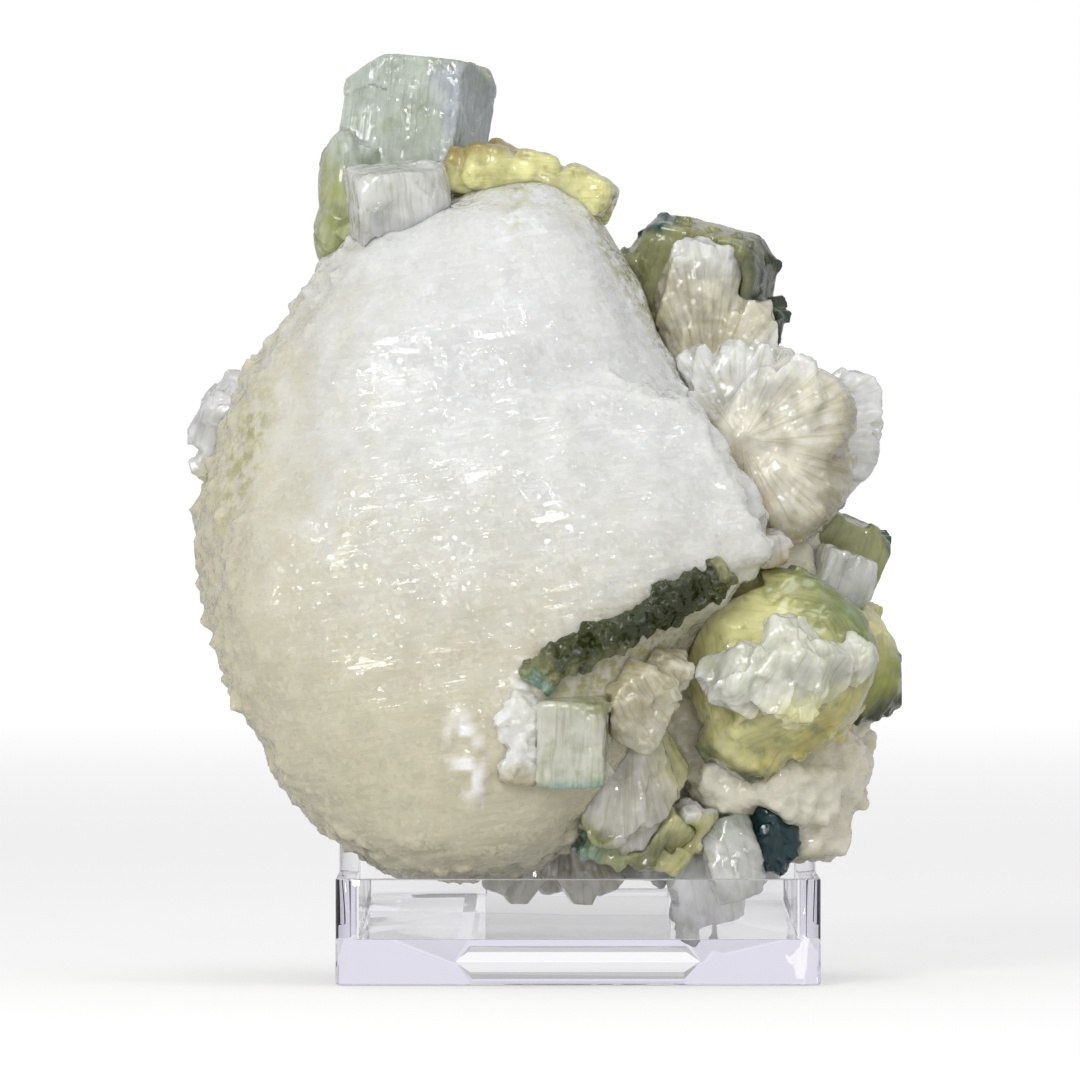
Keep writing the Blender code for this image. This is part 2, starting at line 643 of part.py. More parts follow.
def moss():
    """The dark green crust in the crease between the sheaf and the crystals."""
    shapes = []
    chance = random.Random(SEED + 6)
    count = 8
    for i in range(count):
        share = i / (count - 1)
        centre = front_of("stilbite_sheaf", -4.5 + 24.0 * share, 46.0 + 12.5 * share)
        size = (chance.uniform(4.6, 5.6), chance.uniform(4.6, 6.0), chance.uniform(3.6, 5.0))
        turn = (chance.uniform(-30, 30), -32 + chance.uniform(-12, 12), chance.uniform(-30, 30))
        shapes.append(block(size, centre, turn, 0.0, [((0.4, -0.6, 0.7), 0.8)]))
    return "apophyllite_moss", shapes, "moss_green"


def fan_lower():
    """The clear stilbite fan that opens downwards below the white crystals, with a yellow-green foot."""
    shapes = []
    fan = ((162, 15.0, -21.5), (176, 18.5, -20.0), (190, 18.0, -22.5), (206, 16.5, -19.5), (150, 13.0, -19.0))
    for lean, length, depth in fan:
        shapes.append(blade(length, 9.0, 5.0, (7.0, depth, 37.5), (0, lean, 10), 0.7, 0.8))
    return "stilbite_fan_lower", shapes, "stilbite_clear"


def rim_lower():
    """The yellow-green edge under the fan."""
    shapes = []
    count = 4
    for i in range(count):
        share = i / (count - 1)
        centre = (-1.0 + 13.0 * share, -15.5 - 1.5 * math.sin(math.pi * share), 23.6 - 3.2 * math.sin(math.pi * share))
        shapes.append(block((5.4, 9.0, 4.6), centre, (12 * i, 9 * i, 17 * i)))
    return "apophyllite_rim_lower", shapes, "apophyllite_yellow"


def blades_bottom():
    """The grey-brown stilbite blades that point down under the sheaf."""
    shapes = []
    fan = (
        (200, 13.0, -8.0, -3.0), (184, 13.5, -3.5, 1.0), (168, 13.0, 2.0, -2.0), (152, 12.0, 6.0, 1.0),
    )
    for lean, length, x, depth in fan:
        shapes.append(blade(length, 9.5, 7.5, (x, depth, 23.0), (0, lean, 12), 0.9, 0.7))
    return "stilbite_blades_bottom", shapes, "stilbite_cream"


def blocks_bottom():
    """The cool white crystals that reach down to the slab and carry the specimen's right side."""
    shapes = [
        block((9.5, 9.0, 12.5), (18.6, -6.5, 13.7), (3, -9, 8), 0.14, seed=111),
        block((7.5, 8.0, 8.0), (24.4, -5.0, 15.5), (14, 30, 20), 0.2, seed=112),
        block((6.0, 6.5, 7.0), (11.2, -5.5, 16.8), (24, 14, 36), 0.18, seed=113),
    ]
    return "stilbite_blocks_bottom", shapes, "stilbite_clear"


def crystal_oval():
    """The white oval crystal at the lower right."""
    shape = block((7.6, 5.5, 12.4), (22.4, -15.0, 17.6), (-6, -14, 12), 0.34, [((0.2, -0.9, 0.2), 0.85)], 121)
    return "stilbite_oval", [shape], "stilbite_clear"


def crystals_small_right():
    """The small clear cubes beside the oval crystal."""
    shapes = [
        block((5.6, 6.0, 5.2), (16.4, -14.5, 22.6), (18, 26, 20), 0.08, seed=122),
        block((5.0, 5.0, 4.4), (13.6, -15.0, 19.0), (30, 36, 12), 0.08, seed=123),
        block((4.6, 5.0, 6.0), (11.6, -14.0, 23.4), (12, 14, 40), 0.1, seed=124),
    ]
    return "apophyllite_cubes_lower", shapes, "apophyllite_yellow"


def crystal_teal():
    """The dark teal crystal under the drusy lobe."""
    shape = block((5.6, 6.0, 8.6), (28.2, -11.5, 20.6), (10, 8, 24), 0.3, seed=125)
    return "apophyllite_teal", [shape], "apophyllite_teal"


def crystals_left():
    """The clear crystals that stand out behind the sheaf's left edge."""
    shapes = [
        block((7.0, 8.0, 8.5), (-51.6, 3.0, 80.5), (12, 24, 20), 0.2, seed=131),
        block((6.0, 6.0, 6.0), (-49.0, 4.0, 84.5), (30, 12, 40), 0.2, seed=132),
        block((5.0, 6.0, 5.0), (-52.5, 2.0, 75.5), (20, 46, 10), 0.18, seed=133),
    ]
    return "stilbite_crystals_left", shapes, "stilbite_clear"


def crystals_between():
    """The glassy crystals between the sheaf's right tip and the rosette."""
    shapes = [
        block((9.0, 7.0, 4.6), (25.0, -18.0, 62.6), (10, -8, 14), 0.14, seed=141),
        block((5.0, 6.0, 4.6), (21.0, -20.5, 62.4), (24, 20, 30), 0.16, seed=142),
    ]
    return "stilbite_crystals_middle", shapes, "stilbite_clear"


def main():
    for old in list(bpy.data.objects):
        bpy.data.objects.remove(old)
    acrylic_stand()
    taken = []
    for crystals in (
        stilbite_sheaf, matrix, crystal_front, tuft_front, rosette, stilbite_upper_right, cluster_upper_right,
        apophyllite_top, stilbite_block_top, druse_top, crystal_right_clear, crystal_right_upper,
        crystal_right_lower, blades_far_right, crystal_square, crystals_white_middle, snow_left, moss, fan_lower,
        rim_lower, blocks_bottom, blades_bottom, crystal_oval, crystals_small_right, crystal_teal, crystals_left,
        crystals_between,
    ):
        grow(*crystals(), taken)


main()
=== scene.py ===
"""The looks of a green apophyllite and stilbite specimen in its clear tray stand.

Every crystal piece starts from its solid in the frame, which is remeshed finely and given its growth relief.
Small crystals are scattered over it as joined meshes. Relief and crystals are sized in millimetres, and meshes
and shader coordinates are in metres.
"""

import math

import bmesh
import bpy
import numpy as np
from mathutils import Euler, Matrix, Vector


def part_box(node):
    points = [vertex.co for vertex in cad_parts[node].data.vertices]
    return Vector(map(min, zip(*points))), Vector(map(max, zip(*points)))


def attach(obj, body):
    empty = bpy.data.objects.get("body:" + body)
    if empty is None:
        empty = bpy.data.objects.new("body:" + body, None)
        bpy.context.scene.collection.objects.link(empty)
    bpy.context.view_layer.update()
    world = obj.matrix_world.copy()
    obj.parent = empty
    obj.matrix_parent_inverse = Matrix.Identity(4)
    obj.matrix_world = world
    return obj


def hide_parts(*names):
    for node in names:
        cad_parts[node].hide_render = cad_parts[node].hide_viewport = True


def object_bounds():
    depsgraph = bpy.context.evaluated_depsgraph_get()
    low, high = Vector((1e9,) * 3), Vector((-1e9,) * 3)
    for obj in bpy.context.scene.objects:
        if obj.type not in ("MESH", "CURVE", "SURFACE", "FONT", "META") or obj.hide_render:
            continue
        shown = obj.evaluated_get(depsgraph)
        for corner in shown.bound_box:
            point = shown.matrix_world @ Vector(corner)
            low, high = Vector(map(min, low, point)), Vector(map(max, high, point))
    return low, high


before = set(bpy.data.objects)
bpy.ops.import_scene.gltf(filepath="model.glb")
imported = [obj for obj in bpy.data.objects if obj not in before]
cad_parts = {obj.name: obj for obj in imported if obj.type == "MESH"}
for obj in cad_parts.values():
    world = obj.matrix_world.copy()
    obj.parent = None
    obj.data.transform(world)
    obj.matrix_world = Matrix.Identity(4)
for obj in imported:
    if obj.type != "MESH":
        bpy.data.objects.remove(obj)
cad_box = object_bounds()

MM = 0.001

# The camera stands where the photograph was taken from.
CAMERA_PLACE = (-5.5, -1774.0, 77.0)
CAMERA_AIM = (-5.5, 0.0, 63.9)
CAMERA_LENS = 405.0

# Small bright lights that the crystal faces catch.
SPARKLE_LIGHTS = (
    (0.5, -1.0, 0.5), (-0.9, -0.7, 0.2), (0.1, -1.1, 0.75), (0.9, -0.5, 0.9), (-0.6, -1.0, 0.8), (0.3, -1.2, 0.1),
    (-0.2, -1.3, 0.3),
)

# The stand's own sizes, as its solid has them.
SLAB = 6.4
WALL = 3.0
LIP_TOP = 15.2
POST_RAMP = (9.0, 13.0)
STAND_CORNER = 2.6
BACK_GAP = 28.6
CORE_HALF_WIDTHS = (15.3, 17.6, 15.6)
CORE_HEIGHTS = (0.9, 3.3, 5.5)
CORE_FRONT = 5.0
CORE_WEDGE = 0.25

# Paints.
SNOW = "e2e4e9"
PEARL = "dcddd9"
MILK = "d6d7d6"
BONE = "d1d2c3"
REED = "a2a473"
IVORY = "e0dccb"
CHALK = "e9e6d9"
ICE = "ecedec"
CREAM = "c7c2aa"
SAND = "b3ab8c"
OCHRE = "b09a48"
PEACH = "d9c39a"
SMOKE = "c8c4b8"
MIST = "cdd6d0"
SAGE = "b3bdae"
STEEL = "a9b1bb"
LEMON = "e2dfa0"
HONEY = "cbbf62"
LIME = "acb35c"
LEAF = "7d8f3c"
MOSS = "3a400f"
BOTTLE = "26360f"
LAGOON = "87a898"
PETROL = "164f4b"
DEEP_TEAL = "083b40"

# Each crystal's own paint, then the paints that come in over it from one side: the way to that side as X and Z on
# the front, and where the paint starts and is full, from -1 at one side of the crystal over 0 to 1 at the other.
PAINTS = {
    "apophyllite_top": (
        SAGE, (MIST, (-0.5, 0.3), -0.1, 0.9), (STEEL, (1.0, 0.0), 0.3, 0.55), (LIME, (-1.0, -0.3), 0.6, 0.95),
        (LEAF, (0.4, 1.0), 1.05, 1.3),
    ),
    "stilbite_block_top": (PEARL, (ICE, (0.5, -0.8), 0.0, 0.9)),
    "apophyllite_druse_top": (LEMON, (OCHRE, (-0.3, 0.9), 0.4, 1.1), (REED, (-0.5, -1.0), 0.6, 1.1)),
    # The petrol washes at the very edges of the green crystals are partly their deeper colour and partly painted shade
    # where the edges refract darker surroundings.
    "apophyllite_upper_right": (
        REED, (BOTTLE, (1.0, -0.1), 0.1, 0.8), (PEACH, (-0.7, -1.0), 0.4, 0.8), (PETROL, (1.0, 0.1), 1.0, 1.15),
        (PETROL, (-0.6, 1.0), 1.05, 1.25),
    ),
    "stilbite_upper_right": (CREAM, (PEARL, (0.1, 1.0), 0.1, 0.8), (ICE, (0.6, -1.0), 0.6, 1.1), (SAND, (-1.0, 0.0), 0.6, 1.0)),
    "stilbite_rosette": (
        IVORY, (PEARL, (-0.4, 1.0), 0.3, 0.9), (SAND, (1.0, -0.3), 0.3, 1.0), (PEACH, (-0.8, -0.8), 0.2, 1.0),
    ),
    "stilbite_blades_right": (ICE,),
    # Petrol at the edge: deeper colour and painted refraction shade, as above.
    "apophyllite_right_upper": (REED, (LEAF, (0.2, 1.0), 0.6, 1.2), (PETROL, (1.0, 0.3), 0.8, 1.1)),
    "stilbite_right_clear": (PEARL, (SAGE, (0.4, -1.0), 0.3, 1.0)),
    # Petrol at the edge: deeper colour and painted refraction shade, as above.
    "apophyllite_right_lower": (
        LEMON, (LIME, (0.3, -1.0), -0.2, 0.4), (MOSS, (0.4, -1.0), 0.6, 1.0), (PETROL, (1.0, 0.1), 0.9, 1.0),
    ),
    "apophyllite_front": (
        LEMON, (LEAF, (0.7, 0.7), 0.3, 1.0), (HONEY, (0.6, -0.8), 0.2, 0.9), (MOSS, (-0.6, -1.0), 0.95, 1.25),
    ),
    "stilbite_tuft_front": (BONE, (PEARL, (-0.6, -0.4), 0.2, 0.9), (LEMON, (0.4, -1.0), 0.2, 0.9)),
    "apophyllite_square": (BONE, (REED, (0.3, 1.0), 0.5, 1.2), (LAGOON, (0.0, -1.0), 0.75, 1.0)),
    "stilbite_white_middle": (CREAM, (SAND, (-0.7, 0.7), -0.6, 0.6), (IVORY, (0.8, 0.2), 0.5, 1.1)),
    "stilbite_snow_left": (PEARL, (SAND, (0.0, -1.0), 0.3, 0.9)),
    "apophyllite_moss": (
        MOSS, (REED, (0.1, -1.0), 0.1, 0.8), (LAGOON, (-0.2, -1.0), 0.8, 1.1), (REED, (1.0, 0.6), 1.2, 1.5),
    ),
    "stilbite_fan_lower": (CHALK, (LEMON, (1.0, 0.3), 0.3, 1.0), (REED, (-0.7, -1.0), 0.9, 1.3)),
    "apophyllite_rim_lower": (REED, (LAGOON, (-1.0, 0.1), 0.3, 0.9), (LEMON, (1.0, 0.3), 0.3, 0.9)),
    "stilbite_blades_bottom": (SMOKE,),
    "stilbite_blocks_bottom": (ICE,),
    "stilbite_oval": (PEARL, (SAGE, (-0.3, 1.0), 0.4, 1.0)),
    "apophyllite_cubes_lower": (LEMON, (ICE, (-0.3, 1.0), 0.1, 0.6), (LEAF, (0.9, -0.3), 0.7, 1.0)),
    "apophyllite_teal": (DEEP_TEAL,),
    "stilbite_crystals_left": (ICE, (LEMON, (0.3, -1.0), 0.4, 0.9)),
    "stilbite_crystals_middle": (PEARL, (PEACH, (0.5, -0.6), 0.0, 0.9)),
    "stilbite_matrix": (IVORY, (CREAM, (-0.4, 1.0), 0.0, 0.8), (SAND, (-0.2, -1.0), 0.7, 1.0)),
    # The cream that comes in from the sheaf's bottom is partly its warmer colour and partly painted shade, darker
    # towards the bottom.
    "stilbite_sheaf": (MILK, (CREAM, (-0.15, -1.0), -0.45, 0.7), (CREAM, (-1.0, 0.1), 0.3, 1.05)),
}


# Noise on arrays of points, in millimetres


def hashed(cell, seed):
    """A number from 0 to 1 for every whole-numbered cell."""
    mixed = cell[..., 0] * 73856093 ^ cell[..., 1] * 19349663 ^ cell[..., 2] * 83492791 ^ seed * 40503077
    mixed = (mixed ^ mixed >> 13) * 1274126177
    mixed = (mixed ^ mixed >> 15) * 2246822519
    return ((mixed ^ mixed >> 16) & 0xFFFFFF) / 0x1000000


def smooth_noise(points, size, seed=0):
    """Smooth noise from -1 to 1 whose bumps are about that size."""
    scaled = points / size
    base = np.floor(scaled).astype(np.int64)
    part = scaled - base
    part = part * part * (3 - 2 * part)
    total = np.zeros(len(points))
    for corner in np.ndindex(2, 2, 2):
        weight = np.prod(np.where(corner, part, 1 - part), axis=1)
        total += weight * hashed(base + corner, seed)
    return total * 2 - 1


def rough_noise(points, size, seed=0, octaves=4):
    """Smooth noise with finer and weaker layers added to it."""
    layers = [smooth_noise(points, size / 2 ** i, seed + i) / 2 ** i for i in range(octaves)]
    return sum(layers) / (2 - 0.5 ** (octaves - 1))


def cells(points, size, seed=0):
    """For every point: the way from its nearest scattered centre, three numbers of that centre, and how far
    the point is from the border with the next one."""
    scaled = points / size
    base = np.floor(scaled).astype(np.int64)
    nearest = np.full(len(points), 9.0)
    second = np.full(len(points), 9.0)
    away = np.zeros((len(points), 3))
    chance = np.zeros((len(points), 3))
    for step in np.ndindex(3, 3, 3):
        cell = base + np.array(step) - 1
        jitter = np.stack([hashed(cell, seed + 11 * axis) for axis in range(3)], axis=1)
        offset = scaled - cell - jitter
        distance = np.linalg.norm(offset, axis=1)
        closer = distance < nearest
        second = np.where(closer, nearest, np.minimum(second, distance))
        nearest = np.where(closer, distance, nearest)
        away[closer] = offset[closer]
        picked = np.stack([hashed(cell, seed + 101 + axis) for axis in range(3)], axis=1)
        chance[closer] = picked[closer]
    return away * size, chance, (second - nearest) * size


def facets(points, size, slope, seed=0):
    """Heights of a mosaic of flat facets of that size, each tilted its own way by up to that slope."""
    away, chance, _ = cells(points, size, seed)
    return np.sum(away * (chance * 2 - 1), axis=1) * slope


def ramp(values, low, high):
    """0 below low, 1 above high, and smooth between them."""
    share = np.clip((values - low) / (high - low), 0, 1)
    return share * share * (3 - 2 * share)


def patch(points, x, z, wide, tall, lean=0.0):
    """1 in the middle of an ellipse on the front, falling to 0 at its edge. lean turns its top to the right."""
    turn = math.radians(lean)
    across, up = points[:, 0] - x, points[:, 2] - z
    along = across * math.sin(turn) + up * math.cos(turn)
    aside = across * math.cos(turn) - up * math.sin(turn)
    return 1 - ramp(np.hypot(aside / wide, along / tall), 0.35, 1.15)


def along(points, lean):
    """How far points lie across and along a direction on the front that leans to the left by that many degrees."""
    turn = math.radians(lean)
    x, z = points[:, 0], points[:, 2]
    return x * math.cos(turn) + z * math.sin(turn), z * math.cos(turn) - x * math.sin(turn)


def linear(code):
    """A colour written as six hexadecimal digits, as linear light."""
    shown = np.array([int(code[i:i + 2], 16) for i in (0, 2, 4)]) / 255
    return np.where(shown > 0.04045, ((shown + 0.055) / 1.055) ** 2.4, shown / 12.92)


def tones(points, node):
    """The colour of each point: the crystal's own paint with the others washed over it, all slightly mottled."""
    low, high = (np.array(corner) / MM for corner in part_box(node))
    place = (2 * (points - low) / (high - low) - 1)[:, [0, 2]]
    ragged = 0.22 * rough_noise(points, 3.0, 71)
    own, *washes = PAINTS[node]
    colour = np.tile(linear(own), (len(points), 1))
    for paint, way, start, full in washes:
        share = ramp(place @ np.array(way) + ragged, start, full)[:, None]
        colour = colour * (1 - share) + linear(paint) * share
    return colour * (1 + 0.10 * rough_noise(points, 2.4, 77))[:, None]


def beyond_line(points, line):
    """How far points lie to the right of a line of points on the front, as one walks along it."""
    best = np.full(len(points), 1e9)
    side = np.zeros(len(points))
    place = points[:, [0, 2]]
    for start, end in zip(np.array(line[:-1]), np.array(line[1:])):
        way = end - start
        share = np.clip((place - start) @ way / (way @ way), 0, 1)
        off = place - start - share[:, None] * way
        distance = np.linalg.norm(off, axis=1)
        closer = distance < best
        best = np.where(closer, distance, best)
        side = np.where(closer, np.sign(way[1] * off[:, 0] - way[0] * off[:, 1]), side)
    return best * side


# Meshes as arrays: corners in millimetres and triangles


def node_arrays(node):
    """A CAD node's welded corners and triangles."""
    shape = bmesh.new()
    shape.from_mesh(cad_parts[node].data)
    bmesh.ops.remove_doubles(shape, verts=shape.verts, dist=1e-6)
    return bmesh_arrays(shape, 1 / MM)


def bmesh_arrays(shape, scale=1.0):
    bmesh.ops.triangulate(shape, faces=shape.faces)
    shape.verts.index_update()
    points = np.array([vert.co for vert in shape.verts]) * scale
    triangles = np.array([[vert.index for vert in face.verts] for face in shape.faces])
    shape.free()
    return points, triangles


def plain_mesh(points, faces, name="shape"):
    mesh = bpy.data.meshes.new(name)
    mesh.vertices.add(len(points))
    mesh.vertices.foreach_set("co", (points * MM).astype(np.float32).ravel())
    sides = np.array([len(face) for face in faces]) if isinstance(faces, list) else np.full(len(faces), faces.shape[1])
    loops = np.concatenate([np.asarray(face) for face in faces]) if isinstance(faces, list) else faces.ravel()
    mesh.loops.add(len(loops))
    mesh.loops.foreach_set("vertex_index", loops.astype(np.int32))
    mesh.polygons.add(len(sides))
    mesh.polygons.foreach_set("loop_start", np.concatenate([[0], np.cumsum(sides)[:-1]]).astype(np.int32))
    mesh.update(calc_edges=True)
    return mesh


def remeshed(points, triangles, voxel, smoothing=0, levels=0):
    """The shape as an even quad mesh, smoothed, and subdivided as often as levels says."""
    holder = bpy.data.objects.new("remesh", plain_mesh(points, triangles))
    bpy.context.scene.collection.objects.link(holder)
    remesh = holder.modifiers.new("remesh", "REMESH")
    remesh.mode = "VOXEL"
    remesh.voxel_size = voxel * MM
    if smoothing:
        smooth = holder.modifiers.new("smooth", "SMOOTH")
        smooth.factor = 0.5
        smooth.iterations = smoothing
    if levels:
        finer = holder.modifiers.new("finer", "SUBSURF")
        finer.levels = levels
        finer.render_levels = levels
    evaluated = holder.evaluated_get(bpy.context.evaluated_depsgraph_get())
    mesh = bpy.data.meshes.new_from_object(evaluated)
    bpy.data.objects.remove(holder)
    corners = np.zeros(len(mesh.vertices) * 3, np.float32)
    mesh.vertices.foreach_get("co", corners)
    quads = np.zeros(len(mesh.loops), np.int32)
    mesh.loops.foreach_get("vertex_index", quads)
    bpy.data.meshes.remove(mesh)
    return corners.reshape(-1, 3) / MM, quads.reshape(-1, 4)


def normals_of(points, faces):
    """Unit vertex normals of a mesh of triangles or quads."""
    edges_one = points[faces[:, 1]] - points[faces[:, 0]]
    edges_two = points[faces[:, -1]] - points[faces[:, 0]]
    flat = np.cross(edges_one, edges_two)
    total = np.zeros_like(points)
    for corner in range(faces.shape[1]):
        np.add.at(total, faces[:, corner], flat)
    return total / np.maximum(np.linalg.norm(total, axis=1, keepdims=True), 1e-12)


def scattered(points, faces, count, seed, wanted=None):
    """Random places on a mesh and the way that it faces there. wanted gives each place its odds from 0 to 1."""
    chance = np.random.default_rng(seed)
    one, two, three = points[faces[:, 0]], points[faces[:, 1]], points[faces[:, -1]]
    area = np.linalg.norm(np.cross(two - one, three - one), axis=1)
    if wanted is not None:
        area = area * wanted[faces].mean(axis=1)
    picked = chance.choice(len(faces), count, p=area / area.sum())
    spread = chance.random((count, 2, 1))
    spread = np.where(spread.sum(axis=1, keepdims=True) > 1, 1 - spread, spread)
    places = one[picked] + (two - one)[picked] * spread[:, 0] + (three - one)[picked] * spread[:, 1]
    return places, normals_of(points, faces)[faces[picked, 0]]


def block_shape(corner, seed):
    """A unit blocky crystal whose corners are cut by pyramid faces, as arrays."""
    chance = np.random.default_rng(seed)
    shape = bmesh.new()
    bmesh.ops.create_cube(shape, size=1.0)
    for signs in np.ndindex(2, 2, 2):
        out = Vector(signs) * 2 - Vector((1, 1, 1))
        depth = corner * chance.uniform(0.2, 1.8)
        if depth > 0.02:
            everything = [*shape.verts, *shape.edges, *shape.faces]
            cut = bmesh.ops.bisect_plane(
                shape, geom=everything, dist=1e-5, plane_co=out * (0.5 - depth / 3), plane_no=out, clear_outer=True
            )
            rim = [item for item in cut["geom_cut"] if isinstance(item, bmesh.types.BMEdge)]
            if rim:
                bmesh.ops.contextual_create(shape, geom=rim)
    bmesh.ops.recalc_face_normals(shape, faces=shape.faces)
    return bmesh_arrays(shape)


def blade_shape(seed):
    """A unit stilbite blade along Z from its root at 0: narrow below, with a coffin-shaped tip."""
    chance = np.random.default_rng(seed)
    shoulder = chance.uniform(0.68, 0.84)
    waist = chance.uniform(0.3, 0.42)
    tip = chance.uniform(-0.12, 0.12)
    outline = [(-waist, 0), (waist, 0), (0.5, shoulder), (0.16 + tip, 1.0), (-0.12 + tip, 0.99), (-0.5, shoulder - 0.05)]
    front = [(x, -0.5, z) for x, z in outline]
    back = [(x, 0.5, z) for x, z in outline]
    shape = bmesh.new()
    verts = [shape.verts.new(corner) for corner in front + back]
    shape.faces.new(verts[:6])
    shape.faces.new(verts[6:][::-1])
    for i in range(6):
        j = (i + 1) % 6
        shape.faces.new((verts[j], verts[i], verts[6 + i], verts[6 + j]))
    bmesh.ops.recalc_face_normals(shape, faces=shape.faces)
    return bmesh_arrays(shape)


BLOCKS = [block_shape(0.22, seed) for seed in range(8)]
BLADES = [blade_shape(seed) for seed in range(7)]


def frames_along(directions, chance, wobble):
    """A turn for each direction that takes +Z along it, leaning by up to wobble and spun at random."""
    lean = directions + chance.normal(0, wobble, directions.shape)
    up = lean / np.linalg.norm(lean, axis=1, keepdims=True)
    side = np.cross(up, chance.normal(0, 1, up.shape))
    side /= np.linalg.norm(side, axis=1, keepdims=True)
    return np.stack([side, np.cross(up, side), up], axis=2)


def crystals(templates, places, turns, sizes, seed):
    """Copies of the templates, each at its place with its own turn and size, as one pair of arrays."""
    chance = np.random.default_rng(seed)
    kinds = chance.integers(0, len(templates), len(places))
    corners, triangles, start = [], [], 0
    for place, turn, size, kind in zip(places, turns, sizes, kinds):
        shape, faces = templates[kind]
        corners.append((shape * size) @ turn.T + place)
        triangles.append(faces + start)
        start += len(shape)
    return np.concatenate(corners), np.concatenate(triangles)


def druse(points, faces, count, size, seed, wanted=None, wobble=0.5, sunk=0.2, templates=BLOCKS):
    """Small crystals over a surface, from size[0] to size[1] across and sunk into it by that share."""
    chance = np.random.default_rng(seed + 500)
    places, out = scattered(points, faces, count, seed, wanted)
    across = chance.uniform(size[0], size[1], (count, 1)) * chance.uniform(0.7, 1.3, (count, 3))
    places = places + out * (0.5 - sunk) * across[:, 2:3] * 0.5
    return crystals(templates, places, frames_along(out, chance, wobble), across, seed)


def radiating(node, centre, count, width, thickness, seed, facing=(0.0, -1.0, 0.25), reach=(0.9, 1.03)):
    """Blades that grow from a centre to the surface of a node, with their flat faces turned one way."""
    chance = np.random.default_rng(seed)
    places, _ = scattered(*node_arrays(node), count, seed)
    ways = places - np.array(centre)
    lengths = np.linalg.norm(ways, axis=1, keepdims=True)
    up = ways / lengths
    flat = np.array(facing) + chance.normal(0, 0.22, ways.shape)
    flat -= up * np.sum(flat * up, axis=1, keepdims=True)
    flat /= np.linalg.norm(flat, axis=1, keepdims=True)
    turns = np.stack([np.cross(flat, up), flat, up], axis=2)
    sizes = np.c_[
        chance.uniform(width[0], width[1], count), chance.uniform(thickness[0], thickness[1], count),
        lengths[:, 0] * chance.uniform(reach[0], reach[1], count),
    ]
    return crystals(BLADES, np.tile(centre, (count, 1)), turns, sizes, seed)


def joined(*shapes):
    """Several pairs of arrays as one list of corners and one list of faces."""
    corners, faces, start = [], [], 0
    for points, polygons in shapes:
        corners.append(points)
        faces.append(polygons + start)
        start += len(points)
    if len({polygons.shape[1] for polygons in faces}) > 1:
        faces = [triangles_of(polygons) for polygons in faces]
    return np.concatenate(corners), np.concatenate(faces)


def fused(voxel, *shapes):
    """Overlapping closed shapes grown into one skin, as an even quad mesh."""
    points, faces = joined(*shapes)
    return remeshed(points, triangles_of(faces), voxel)


def triangles_of(faces):
    """Triangles of a mesh of quads, or the triangles themselves."""
    return np.concatenate([faces[:, :3], faces[:, [0, 2, 3]]]) if faces.shape[1] == 4 else faces


def piece(name, points, faces, look, nodes=(), sharp=None, tone=None, tints=None):
    """A finished piece that rides on the specimen and stands for its CAD nodes.

    tone is a colour for each corner, and tints are other numbers for each corner by label.
    """
    low, high = np.array(cad_box) / MM
    mesh = plain_mesh(np.clip(points, low, high), faces, name)
    made = bpy.data.objects.new(name, mesh)
    bpy.context.scene.collection.objects.link(made)
    mesh.materials.append(look)
    mesh.shade_smooth()
    if sharp is not None:
        mesh.set_sharp_from_angle(angle=math.radians(sharp))
    for label, values in (tints or {}).items():
        store = mesh.attributes.new(label, "FLOAT", "POINT")
        store.data.foreach_set("value", values.astype(np.float32))
    if tone is not None:
        store = mesh.attributes.new("tone", "FLOAT_COLOR", "POINT")
        store.data.foreach_set("color", np.c_[tone, np.ones(len(tone))].astype(np.float32).ravel())
    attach(made, "root")
    if nodes:
        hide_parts(*nodes)
    return made


# Shader nodes as sums of sockets


class Value:
    """A number or vector in a node tree, which Python's operators work on."""

    def __init__(self, look, socket):
        self.look, self.socket = look, socket

    def math(self, operation, *others):
        return self.look.node("ShaderNodeMath", {"operation": operation}, dict(enumerate([self, *others])))

    def __add__(self, other):
        return self.math("ADD", other)

    def __radd__(self, other):
        return self.math("ADD", other)

    def __sub__(self, other):
        return self.math("SUBTRACT", other)

    def __rsub__(self, other):
        return self.look.node("ShaderNodeMath", {"operation": "SUBTRACT"}, {0: other, 1: self})

    def __mul__(self, other):
        return self.math("MULTIPLY", other)

    def __rmul__(self, other):
        return self.math("MULTIPLY", other)

    def __truediv__(self, other):
        return self.math("DIVIDE", other)

    def ramp(self, low, high):
        """0 below low, 1 above high, and smooth between them."""
        settings = {"interpolation_type": "SMOOTHSTEP"}
        return self.look.node("ShaderNodeMapRange", settings, {"Value": self, "From Min": low, "From Max": high})

    def clamp(self):
        return self.look.node("ShaderNodeClamp", {}, {"Value": self})


